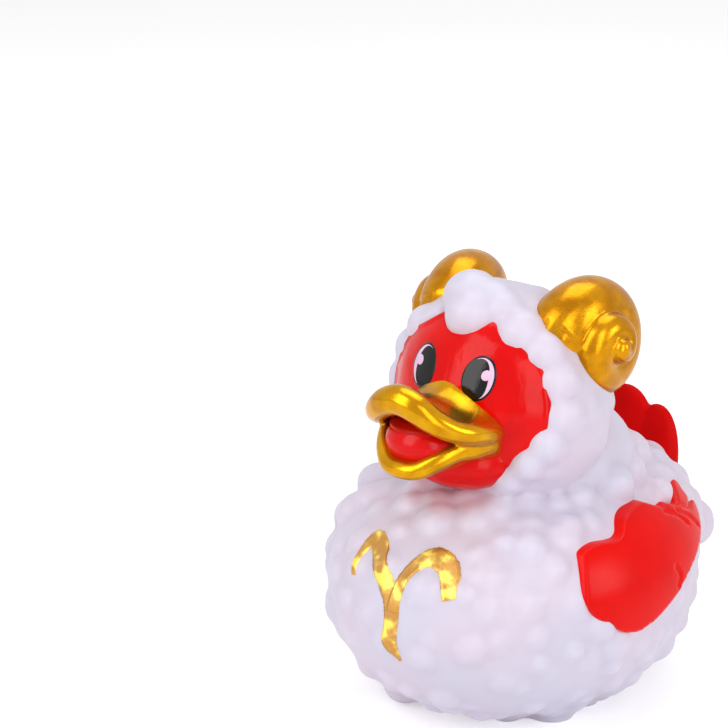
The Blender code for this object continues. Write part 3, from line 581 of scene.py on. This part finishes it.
def build_wool():
    """The belly, rump, neck and hood with their curls, run together and cut flat at the foot."""
    bm = bmesh.new()
    made = bmesh.ops.create_uvsphere(bm, u_segments=96, v_segments=64, radius=1.0)
    for vertex in made["verts"]:
        vertex.co = body_point(vertex.co.normalized())
    add_ellipsoid(bm, RUMP_CENTRE, RUMP_AXES)
    add_ellipsoid(bm, NECK_CENTRE, NECK_AXES)
    chance = random.Random(WOOL_SEED)
    axes = (BODY_WIDTH / 2, BODY_LENGTH / 2, (BODY_TOP - BODY_WIDEST + BODY_DEPTH) / 2)
    for direction in scattered_directions(curl_count(axes, CURL_SPACING), chance):
        radius = curl_size(chance, CURL_RADIUS)
        place = body_point(direction)
        relief = CURL_RELIEF * chance.uniform(*RELIEF_SHARES) * (1 - near_sign(place))
        if place.z > CURL_RELIEF and not inside(WING_EDGE, place.y, place.z):
            add_ball(bm, place + direction * (relief - radius), radius)
    for direction in scattered_directions(curl_count(RUMP_AXES, CURL_SPACING), chance):
        radius = curl_size(chance, CURL_RADIUS)
        place = RUMP_CENTRE + Vector(d * a for d, a in zip(direction, RUMP_AXES))
        if direction.y > 0:
            add_ball(bm, place + direction * (CURL_RELIEF - radius), radius)
    for ring, height, dip, count, size in COLLAR:
        for i in range(count):
            turn = 2 * math.pi * (i + 0.5) / count
            radius = curl_size(chance, size)
            chin = max(0.0, math.cos(turn)) ** 2
            reach = ring + COLLAR_JUT * chin
            place = Vector((reach * math.sin(turn), NECK_CENTRE.y - reach * math.cos(turn),
                            height - dip * chin))
            if not inside(WING_EDGE, place.y, place.z):
                add_ball(bm, place, radius)
    for i in range(FOOT_CURL_COUNT):
        turn = 2 * math.pi * i / FOOT_CURL_COUNT
        radius = curl_size(chance, FOOT_CURL_RADIUS)
        add_ball(bm, (FOOT_RING * math.sin(turn), -FOOT_RING * math.cos(turn), radius / 2), radius)
    for x, y, z, radius in REAR_CURLS:
        for side in (-1, 1):
            add_ball(bm, (side * x, y, z), radius)
    for x, y, z, radius in SHOULDER_CURLS:
        add_ball(bm, (x, y, z), radius)
    build_hood(bm, chance)
    wool = melted(bm, voxel=0.6, rounds=14)
    cut = bmesh.ops.bisect_plane(wool, geom=wool.verts[:] + wool.edges[:] + wool.faces[:],
                                 plane_co=(0, 0, 0), plane_no=(0, 0, -1), clear_outer=True)
    rim = [e for e in cut["geom_cut"] if isinstance(e, bmesh.types.BMEdge)]
    bmesh.ops.contextual_create(wool, geom=rim)
    bmesh.ops.triangulate(wool, faces=[f for f in wool.faces if len(f.verts) > 4])
    return wool


def build_hood(bm, chance):
    """The hood of wool, hollow where the face looks out, with its curls and fringe."""
    verts = add_ellipsoid(bm, HEAD_CENTRE, HOOD_AXES, segments=128, rings=80)
    for vertex in verts:
        ray = vertex.co - HEAD_CENTRE
        if in_face(ray.normalized()) < 1.0:
            vertex.co = HEAD_CENTRE + ray * FACE_HOLLOW
    for direction in scattered_directions(curl_count(HOOD_AXES, HOOD_CURL_SPACING), chance):
        radius = curl_size(chance, HOOD_CURL_RADIUS)
        surface = on_ellipsoid(direction, HOOD_AXES)
        if in_face(direction) > FACE_CLEARANCE and surface.z > HOOD_CURL_LOWEST:
            add_ball(bm, HEAD_CENTRE + surface + direction * (HOOD_CURL_RELIEF - radius), radius)
    for azimuth, elevation, radius, relief in FRINGE:
        for side in (-1, 1) if azimuth > FRINGE_TWIN_FROM else (1,):
            direction = toward(side * azimuth, elevation)
            surface = on_ellipsoid(direction, HOOD_AXES)
            far_curl = side < 0 and FAR_CURL_BAND[0] < elevation < FAR_CURL_BAND[1]
            sink = FAR_CURL_SINK if far_curl else 0.0
            add_ball(bm, HEAD_CENTRE + surface + direction * (relief - sink - radius), radius)


FACE_STANDS = 0.5           # how far the painted face stands out of the bare head
FACE_DEPTH = 1.2            # and how deep its shell goes
FACE_TUCK = 3.0             # it runs on this far under the hood, in degrees
EDGE_WAVES = (9, 14, 23, 37)    # how many waves of each kind go round its uneven edge
EDGE_WAVE_SIZE = 1.1
EDGE_WAVE_FALL = 0.4        # finer waves are lower by this power
EDGE_WAVE_SHARE = 0.8
MM_PER_DEGREE = 0.34        # along the face
EDGE_RIDGE = (0.35, 1.6, 0.5)   # height, place from the edge and half width of the dried ridge


def build_face():
    """The bare head inside the hood, as a thick shell whose painted edge is uneven."""
    bm = bmesh.new()
    around = len(FACE_REACH)
    steps = 44
    chance = random.Random(WOOL_SEED + 2)
    waves = [(n, chance.uniform(0, 2 * math.pi), EDGE_WAVE_SIZE / n ** EDGE_WAVE_FALL)
             for n in EDGE_WAVES]
    ridge, ridge_place, ridge_width = EDGE_RIDGE
    middle = Vector(FACE_MIDDLE)
    fronts, backs = [], []
    for k in range(steps + 1):
        share = k / steps
        front_ring, back_ring = [], []
        for turn, reach in FACE_REACH:
            wave = sum(size * math.sin(n * turn + start) for n, start, size in waves)
            out = (reach + FACE_TUCK + wave * EDGE_WAVE_SHARE) * share
            azimuth = middle.x + out * math.sin(turn)
            elevation = middle.y + out * math.cos(turn)
            direction = toward(azimuth, max(-85.0, min(85.0, elevation)))
            surface = on_ellipsoid(direction, HEAD_AXES)
            from_edge = (1 - share) * (reach + FACE_TUCK) * MM_PER_DEGREE
            raised = ridge * math.exp(-((from_edge - ridge_place) / ridge_width) ** 2)
            front = HEAD_CENTRE + surface + direction * (FACE_STANDS + raised)
            front_ring.append(bm.verts.new(front))
            back_ring.append(bm.verts.new(HEAD_CENTRE + surface - direction * FACE_DEPTH))
        fronts.append(front_ring)
        backs.append(back_ring)
    for rings, flip in ((fronts, False), (backs, True)):
        for inner, outer in zip(rings, rings[1:]):
            for i in range(around):
                j = (i + 1) % around
                quad = (inner[i], inner[j], outer[j], outer[i])
                bm.faces.new(tuple(reversed(quad)) if flip else quad)
    for i in range(around):
        j = (i + 1) % around
        bm.faces.new((fronts[-1][j], fronts[-1][i], backs[-1][i], backs[-1][j]))
    bmesh.ops.remove_doubles(bm, verts=bm.verts[:], dist=0.005)
    return bm


# The beak's two lips, from the middle to the left cheek, and its girth at each place
UPPER_LIP = (
    (0.0, -35.0, 67.7, 5.8), (3.2, -34.8, 66.8, 5.6), (6.2, -33.6, 64.7, 5.0),
    (8.8, -30.9, 62.6, 4.4), (10.1, -27.6, 61.5, 4.5), (10.3, -24.2, 60.6, 4.6),
    (10.2, -21.0, 59.9, 4.4),
)
LOWER_LIP = (
    (0.0, -34.8, 54.4, 3.6), (3.3, -34.2, 54.8, 3.6), (5.9, -32.1, 56.4, 3.6),
    (8.0, -29.0, 57.9, 3.7), (9.6, -25.6, 58.1, 4.0), (10.1, -21.5, 57.9, 4.0),
)
BEAK_ROOT = (
    (0.0, -20.6, 67.0), (3.6, -20.3, 66.0), (6.6, -19.4, 64.0), (8.8, -18.3, 61.8),
    (10.1, -17.4, 60.2), (10.4, -17.0, 59.4),
)


BEAK_DISH = 2.7             # how deep its top is dished
BEAK_DISH_PLACE = 0.85      # below 1, the deepest place lies nearer the root
BEAK_HALF_WIDTH = 10.7
BEAK_TOP_HALF = 1.6         # half the thickness of its top
LOWER_ROOT_SHARE = 0.8      # how wide the lower half is at its root, against the lip
LOWER_ROOT = (-17.0, 53.5)  # back and up
LOWER_ROOT_RISE = 0.4       # how much of the lip's rise towards the cheeks its root takes


def both_sides(points):
    """A row of points from the middle outward, with its mirror image before it."""
    return [(-p[0], *p[1:]) for p in reversed(points[1:])] + list(points)


def along_lip(lip):
    """Middle line and girths of a lip, from cheek to cheek."""
    places = smooth_path([p[:3] for p in both_sides(lip)], 8)
    girths = smooth_path([(p[3], 0, 0) for p in both_sides(lip)], 8)
    return places, [g.x for g in girths]


def build_beak():
    """Both halves of the open beak, thick at the lips and dished above."""
    bm = bmesh.new()
    upper, upper_girths = along_lip(UPPER_LIP)
    lower, lower_girths = along_lip(LOWER_LIP)
    add_tube(bm, upper, [g / 2 for g in upper_girths])
    add_tube(bm, lower, [g / 2 for g in lower_girths])
    roots = smooth_path(both_sides(BEAK_ROOT), 16)
    for k, rim in enumerate(upper):
        root = roots[round(k / (len(upper) - 1) * (len(roots) - 1))]
        across = abs(rim.x) / BEAK_HALF_WIDTH
        strip = []
        for step in range(11):
            t = step / 10
            point = root.lerp(rim, t)
            point.z -= BEAK_DISH * math.sin(math.pi * t ** BEAK_DISH_PLACE) * (1 - across ** 2)
            strip.append(point)
        add_tube(bm, strip, [BEAK_TOP_HALF] * len(strip), sides=10)
    for rim, girth in zip(lower, lower_girths):
        rise = (rim.z - LOWER_LIP[0][2]) * LOWER_ROOT_RISE
        foot = Vector((rim.x * LOWER_ROOT_SHARE, LOWER_ROOT[0], LOWER_ROOT[1] + rise))
        add_tube(bm, [foot, foot.lerp(rim, 0.5), rim], [girth / 2] * 3, sides=10)
    return melted(bm, voxel=0.35, rounds=6)


# Middle and half sizes of the chin that carries the lower beak, of the tongue, which is domed out
# to the lips, and of the roof of the mouth just above it, whose darker red is painted shade
CHIN = (0, -16.0, 52.8), (12.2, 10.6, 6.5)
TONGUE = (0, -28.3, 58.3), (7.4, 6.7, 5.1)
PALATE = (0, -26.6, 61.2), (7.4, 7.4, 2.0)


def build_mound(middle, half_sizes, voxel):
    """A plain rounded form of the chin or mouth."""
    bm = bmesh.new()
    add_ellipsoid(bm, middle, half_sizes)
    return melted(bm, voxel, rounds=3)


HORN_COIL_SIDE = 12.6       # out from the duck's middle, where the horn starts
HORN_TIP_SIDE = 23.6        # and where its bead lies
HORN_MIDDLE = (3.0, 72.2)   # back along the duck, and up
HORN_TIP_DRIFT = (-2.8, 1.6)    # how far the bead lies from there
HORN_COIL = 7.3             # radius of the coil's middle line at its start
HORN_THICKNESS = 13.6
HORN_TIP_THICKNESS = 3.6
HORN_TURNS = 1.75
HORN_START = 30.0           # degrees
# Powers of the way along the horn by which its coil closes, steps out, drifts and tapers
HORN_CLOSE, HORN_STEP_OUT, HORN_DRIFT, HORN_TAPER = 0.72, 0.85, 1.5, 0.8


def build_horn(side):
    """A coil that tapers and winds outward, and ends in a bead."""
    bm = bmesh.new()
    points, radii = [], []
    steps = 140
    for i in range(steps + 1):
        t = i / steps
        turn = math.radians(HORN_START) + 2 * math.pi * HORN_TURNS * t
        coil = HORN_COIL * (1 - t) ** HORN_CLOSE
        out = HORN_COIL_SIDE + (HORN_TIP_SIDE - HORN_COIL_SIDE) * t ** HORN_STEP_OUT
        drift = t ** HORN_DRIFT
        points.append(Vector((side * out,
                              HORN_MIDDLE[0] + HORN_TIP_DRIFT[0] * drift - coil * math.cos(turn),
                              HORN_MIDDLE[1] + HORN_TIP_DRIFT[1] * drift + coil * math.sin(turn))))
        radii.append((HORN_THICKNESS + (HORN_TIP_THICKNESS - HORN_THICKNESS) * t ** HORN_TAPER) / 2)
    add_tube(bm, points, radii, sides=32)
    return melted(bm, voxel=0.35, rounds=2)


def build_wing(side):
    """A domed panel of feathers that lies on the flank."""
    dome = bmesh.new()
    made = bmesh.ops.create_uvsphere(dome, u_segments=160, v_segments=96, radius=1.0)
    for vertex in made["verts"]:
        vertex.co = body_point(vertex.co.normalized(), WING_LIFT) + Vector((0, WING_SHIFT, 0))
    face_outward(dome)
    blank = new_object("wing_blank", dome)
    prism = bmesh.new()
    inner, outer = 8.0, 50.0    # from well inside the belly to well outside
    near = [prism.verts.new((side * inner, p.x, p.y)) for p in WING_EDGE]
    far = [prism.verts.new((side * outer, p.x, p.y)) for p in WING_EDGE]
    prism.faces.new(near)
    prism.faces.new(list(reversed(far)))
    for i in range(len(near)):
        prism.faces.new((near[i - 1], near[i], far[i], far[i - 1]))
    bmesh.ops.triangulate(prism, faces=[f for f in prism.faces if len(f.verts) > 4])
    face_outward(prism)
    outline = new_object("wing_outline", prism)
    cut = blank.modifiers.new("outline", "BOOLEAN")
    cut.object = outline
    cut.operation = "INTERSECT"
    panel = after_modifiers(blank)
    for holder in (blank, outline):
        discard(holder)
    wing = melted(panel, voxel=0.4, rounds=3)
    wing.normal_update()
    lines = [smooth_path([(*p, 0) for p in line], 8) for line in FEATHER_LINES]
    for vertex in wing.verts:
        place = Vector((vertex.co.y, vertex.co.z, 0))
        near_line = min((place - p).length for line in lines for p in line)
        vertex.co -= vertex.normal * CREASE_DEPTH * math.exp(-(near_line / CREASE_WIDTH) ** 2)
    return wing


TAIL_FEATHERS = (           # middle, height of its top, width, how far it leans out at the top
    (-0.2, 52.2, 14.8, 0.0), (6.8, 49.6, 11.6, 0.4), (-8.2, 49.6, 11.6, -0.4),
)
TAIL_HALF_THICK = 2.9
TAIL_HALF_TALL = 15.0
TAIL_FLARE = 0.18           # how much wider a feather is at its top
TAIL_BACK = 37.6
TAIL_SLOPE = 0.10           # how far it leans forward on the way down, as a share


def build_tail():
    """Three broad feathers that stand up from the rump, as one thick fan."""
    bm = bmesh.new()
    for middle, top, width, lean in TAIL_FEATHERS:
        feather = add_ellipsoid(bm, (0, 0, 0), (width / 2, TAIL_HALF_THICK, TAIL_HALF_TALL),
                                segments=48, rings=32)
        for vertex in feather:
            x, y, z = vertex.co
            drop = TAIL_HALF_TALL - z
            fuller = 1 + TAIL_FLARE * max(0.0, z / TAIL_HALF_TALL)
            vertex.co = (middle + x * fuller + lean * z / TAIL_HALF_TALL,
                         TAIL_BACK + y - drop * TAIL_SLOPE, top - drop)
    return melted(bm, voxel=0.4, rounds=3)


EYE_SIDE, EYE_HEIGHT = 6.3, 69.3    # an eye's middle, out from the duck's middle and up
EYE_HALF = (3.15, 3.95)
EYE_TILT = -1.0             # degrees
EYE_FILM_ROOT = 0.6         # how deep its films go into the face
EYE_RIM = 0.38              # black left outside the crescent
CRESCENT_START = 112.0      # degrees from straight outward
CRESCENT_SWEEP = 185.0
CRESCENT_WIDTH = 0.85
CRESCENT_TAIL = 0.04        # its width at either end
CRESCENT_SHAPE = 1.3        # above 1, it is widest past its middle and its tails are thin
SPARK_SIZE = 0.9
SPARK_SHIFT = (1.35, 0.72)  # from the eye's middle, outward and up
FILM_GAP = 0.07             # each printed film stands this much over the one below


def on_face(x, z, lift):
    """The place on the painted face straight behind x and z, raised by a lift."""
    wide, deep, tall = (axis + FACE_STANDS for axis in HEAD_AXES)
    left_over = 1 - (x / wide) ** 2 - ((z - HEAD_CENTRE.z) / tall) ** 2
    y = HEAD_CENTRE.y - deep * math.sqrt(max(left_over, 0.0))
    out = (Vector((x, y, z)) - HEAD_CENTRE).normalized()
    return Vector((x, y, z)) + out * lift


def film(outline_rows, lift, sink, place):
    """A closed thin film over rows of (x, z), laid on a surface by place(x, z, lift)."""
    bm = bmesh.new()
    tops = [[bm.verts.new(place(x, z, lift)) for x, z in row] for row in outline_rows]
    lows = [[bm.verts.new(place(x, z, -sink)) for x, z in row] for row in outline_rows]
    rows, count = len(tops), len(tops[0])
    for r in range(rows - 1):
        for c in range(count - 1):
            bm.faces.new((tops[r][c], tops[r][c + 1], tops[r + 1][c + 1], tops[r + 1][c]))
            bm.faces.new((lows[r + 1][c], lows[r + 1][c + 1], lows[r][c + 1], lows[r][c]))
    for c in range(count - 1):
        bm.faces.new((tops[0][c + 1], tops[0][c], lows[0][c], lows[0][c + 1]))
        bm.faces.new((tops[-1][c], tops[-1][c + 1], lows[-1][c + 1], lows[-1][c]))
    for r in range(rows - 1):
        bm.faces.new((tops[r][0], tops[r + 1][0], lows[r + 1][0], lows[r][0]))
        bm.faces.new((tops[r + 1][-1], tops[r][-1], lows[r][-1], lows[r + 1][-1]))
    return bm


def oval_rows(half_wide, half_tall, cells=20):
    """A grid of u and v squeezed into an oval."""
    rows = []
    for r in range(cells + 1):
        v = -1 + 2 * r / cells
        rows.append([(half_wide * u * math.sqrt(1 - v * v / 2),
                      half_tall * v * math.sqrt(1 - u * u / 2))
                     for u in (-1 + 2 * c / cells for c in range(cells + 1))])
    return rows


def crescent_rows():
    """The bright rim of a pupil: a thin tail over its top, widest on its outer side."""
    rows = []
    for r in range(41):
        share = r / 40
        turn = math.radians(CRESCENT_START - CRESCENT_SWEEP * share)
        swell = math.sin(math.pi * share ** CRESCENT_SHAPE) ** CRESCENT_SHAPE
        thick = CRESCENT_TAIL + CRESCENT_WIDTH * swell
        row = []
        for c in range(5):
            inward = EYE_RIM + thick * c / 4
            row.append(((EYE_HALF[0] - inward) * math.cos(turn),
                        (EYE_HALF[1] - inward) * math.sin(turn)))
        rows.append(row)
    return rows


def eye_film(rows, side, lift, shift=(0.0, 0.0)):
    """A film of the eye print, in its own tilted frame: x runs outward from the beak."""
    tilt = math.radians(EYE_TILT)
    placed = []
    for row in rows:
        line = []
        for x, z in row:
            x, z = x + shift[0], z + shift[1]
            across = x * math.cos(tilt) + z * math.sin(tilt)
            up = z * math.cos(tilt) - x * math.sin(tilt)
            line.append((side * (EYE_SIDE + across), EYE_HEIGHT + up))
        placed.append(line)
    return film(placed, lift, EYE_FILM_ROOT, on_face)


SIGN_LEFT = (               # x, z and width of the stroke, from its end to the stem
    (-9.2, 32.2, 0.9), (-9.5, 34.6, 1.3), (-9.0, 36.8, 1.9), (-7.7, 38.2, 2.6),
    (-5.6, 37.6, 3.3), (-3.4, 35.6, 3.6), (-1.0, 33.2, 3.2), (1.0, 30.6, 3.1), (1.8, 28.2, 3.2),
    (1.6, 25.6, 3.0), (1.5, 23.0, 2.8), (2.2, 20.8, 2.0), (3.1, 18.8, 0.6),
)
SIGN_RIGHT = (
    (1.9, 28.4, 2.6), (2.0, 31.4, 2.4), (2.7, 34.4, 2.4), (4.0, 36.9, 2.5), (6.1, 38.3, 2.6),
    (8.7, 37.7, 2.8), (10.8, 35.8, 3.0), (12.0, 32.2, 2.4),
)


SIGN_FILM_ROOT = 0.5        # how deep the sign's films go into the wool
SIGN_LIFTS = (0.16, 0.20)   # the left stroke's and the right one's, which lies over it
STROKE_RAGGED = 0.06        # how far a stroke's half width strays, as a share


def stroke_film(stroke, skin, lift):
    """A stroke of the sign as a film that follows the wool under it."""
    path = smooth_path([(x, z, 0) for x, z, _ in stroke], 10)
    widths = smooth_path([(w, 0, 0) for _, _, w in stroke], 10)
    chance = random.Random(WOOL_SEED + len(stroke))

    def on_chest(x, z, raised):
        well_ahead = -80
        touch, normal = skin.ray_cast(Vector((x, well_ahead, z)), Vector((0, 1, 0)))[:2]
        return touch + normal * raised if normal.y < 0 else touch - normal * raised

    rows = []
    for i, point in enumerate(path):
        ahead, behind = path[min(i + 1, len(path) - 1)], path[max(i - 1, 0)]
        along = (ahead - behind).normalized()
        half = widths[i].x / 2
        left = half * (1 + STROKE_RAGGED * chance.uniform(-1, 1))
        right = half * (1 + STROKE_RAGGED * chance.uniform(-1, 1))
        row = []
        for c in range(7):
            reach = -left + (left + right) * c / 6
            row.append((point.x - along.y * reach, point.y + along.x * reach))
        rows.append(row)
    return film(rows, lift, SIGN_FILM_ROOT, on_chest)


CAMERA_AZIMUTH, CAMERA_ELEVATION = 36.5, 20.5     # degrees
CAMERA_DISTANCE = 0.56      # metres from a point above the foot
CAMERA_POINT = (0, 0, 0.040)
LENS, SENSOR = 144.0, 36.0  # millimetres
IMAGE = 728                 # pixels, wide and high
FOOT_PIXEL = (512, 683)     # where the middle of the foot falls in the photograph


def make_camera():
    """The photograph's viewing angle and framing, without any shift."""
    azimuth, elevation = math.radians(CAMERA_AZIMUTH), math.radians(CAMERA_ELEVATION)
    back = Vector((math.sin(azimuth) * math.cos(elevation),
                   -math.cos(azimuth) * math.cos(elevation), math.sin(elevation)))
    eye = Vector(CAMERA_POINT) + back * CAMERA_DISTANCE
    focal = IMAGE * LENS / SENSOR
    forward = -back
    for _ in range(20):
        right = forward.cross(Vector((0, 0, 1))).normalized()
        up = right.cross(forward)
        depth = (-eye).dot(forward)
        x = IMAGE / 2 + focal * (-eye).dot(right) / depth
        y = IMAGE / 2 - focal * (-eye).dot(up) / depth
        forward = (forward - right * (FOOT_PIXEL[0] - x) / focal
                   + up * (FOOT_PIXEL[1] - y) / focal).normalized()
    camera = bpy.data.objects.new("camera", bpy.data.cameras.new("camera"))
    camera.data.lens = LENS
    camera.data.sensor_width = SENSOR
    camera.matrix_world = Matrix((
        (right.x, up.x, -forward.x, eye.x),
        (right.y, up.y, -forward.y, eye.y),
        (right.z, up.z, -forward.z, eye.z),
        (0, 0, 0, 1)))
    bpy.context.scene.collection.objects.link(camera)
    bpy.context.scene.camera = camera


FLOOR_HALF = 3.0            # metres
EVEN_LIGHT = 0.24           # strength of the light that comes from all round
LAMP_AIM = (0, 0, 0.045)    # the duck's middle
SOFTBOXES = (               # name, azimuth, elevation, distance, width and height in metres, watts
    ("softbox_front", -18.0, 33.0, 0.9, 0.46, 0.92, 4.4),
    ("softbox_strip", 57.0, 24.0, 0.9, 0.34, 0.9, 2.9),
    ("softbox_side", 105.0, 20.0, 0.9, 0.30, 0.40, 1.8),
    ("softbox_top", 200.0, 72.0, 1.0, 0.7, 0.7, 3.6),
)


def add_softbox(name, azimuth, elevation, distance, wide, tall, watts):
    """A soft lamp that faces the duck; azimuth and elevation are those of a view from the lamp."""
    lamp = bpy.data.lights.new(name, "AREA")
    lamp.shape = "RECTANGLE"
    lamp.size = wide
    lamp.size_y = tall
    lamp.energy = watts
    box = bpy.data.objects.new(name, lamp)
    aim = Vector(LAMP_AIM)
    box.location = aim + toward(azimuth, elevation) * distance
    box.rotation_mode = "QUATERNION"
    box.rotation_quaternion = (aim - box.location).to_track_quat("-Z", "Y")
    bpy.context.scene.collection.objects.link(box)


def make_studio():
    """The white floor, the light from all round and the softboxes."""
    bm = bmesh.new()
    bmesh.ops.create_grid(bm, x_segments=1, y_segments=1, size=FLOOR_HALF)
    floor = new_object("floor", bm)
    floor.data.materials.append(pale_backdrop())
    world = bpy.data.worlds.new("studio")
    world.use_nodes = True
    world.node_tree.nodes.clear()
    level = add_node(world, "ShaderNodeMapRange", {"To Min": EVEN_LIGHT, "To Max": 1.0},
                     {"Value": backdrop_seen(world)}).outputs["Result"]
    sky = add_node(world, "ShaderNodeBackground",
                   {"Color": linear("#FFFFFF")}, {"Strength": level})
    add_node(world, "ShaderNodeOutputWorld", None, {"Surface": sky.outputs["Background"]})
    bpy.context.scene.world = world
    for softbox in SOFTBOXES:
        add_softbox(*softbox)


make_camera()
make_studio()

bpy.context.scene.view_settings.view_transform = "Standard"

white_vinyl = soft_vinyl_white()
face_enamel = red_enamel("red_brushed_enamel", "#DA0000", "#E60202",
                         roughness=0.13, gloss=0.15, stroke_mm=1.3, depth_mm=0.16)
wing_enamel = red_enamel("red_sprayed_enamel", "#E20400", "#EA0A04",
                         roughness=0.28, gloss=0.13, stroke_mm=0.9, depth_mm=0.03)
tail_enamel = red_enamel("dark_red_sprayed_enamel", "#D00000", "#DA0202",
                         roughness=0.5, gloss=0.08, stroke_mm=0.9, depth_mm=0.02)
tongue_enamel = red_enamel("red_tongue_enamel", "#D40206", "#DE080C",
                           roughness=0.16, gloss=0.18, stroke_mm=2.0, depth_mm=0.05)
# the roof of the mouth is a darker red than the tongue: painted shade under the upper beak
palate_painted_shade_enamel = red_enamel("mouth_roof_enamel_painted_shade", "#A80000", "#C01404",
                           roughness=0.3, gloss=0.12, stroke_mm=2.0, depth_mm=0.04)
beak_gold = gold_lacquer("gold_lacquer", "#B87C06", "#D49C12", metallic=0.86, roughness=0.2)
horn_gold = gold_lacquer("gold_lacquer_on_horns", "#B07004", "#CE8E0E",
                         metallic=0.82, roughness=0.24)
foil = gold_foil()
black_ink = pad_ink("black_pad_ink", "#030303", roughness=0.1)
pale_ink = pad_ink("pale_lilac_pad_ink", "#EBC8E8", roughness=0.3)

wool = build_wool()
chest = BVHTree.FromBMesh(wool)
make_piece("wool", wool, white_vinyl)
make_piece("face", build_face(), face_enamel)
make_piece("beak", build_beak(), beak_gold)
make_piece("chin", build_mound(*CHIN, voxel=0.4), face_enamel)
make_piece("tongue", build_mound(*TONGUE, voxel=0.35), tongue_enamel)
make_piece("palate", build_mound(*PALATE, voxel=0.35), palate_painted_shade_enamel)
make_piece("tail", build_tail(), tail_enamel)
for side, name in ((1, "left"), (-1, "right")):
    make_piece("horn_" + name, build_horn(side), horn_gold)
    make_piece("wing_" + name, build_wing(side), wing_enamel)
    make_piece("pupil_" + name, eye_film(oval_rows(*EYE_HALF), side, FILM_GAP), black_ink)
    make_piece("eye_crescent_" + name, eye_film(crescent_rows(), side, 2 * FILM_GAP), pale_ink)
    spark = eye_film(oval_rows(SPARK_SIZE, SPARK_SIZE, cells=10), side, 2.4 * FILM_GAP, SPARK_SHIFT)
    make_piece("eye_spark_" + name, spark, pale_ink)
make_piece("sign_left_stroke", stroke_film(SIGN_LEFT, chest, SIGN_LIFTS[0]), foil)
make_piece("sign_right_stroke", stroke_film(SIGN_RIGHT, chest, SIGN_LIFTS[1]), foil)
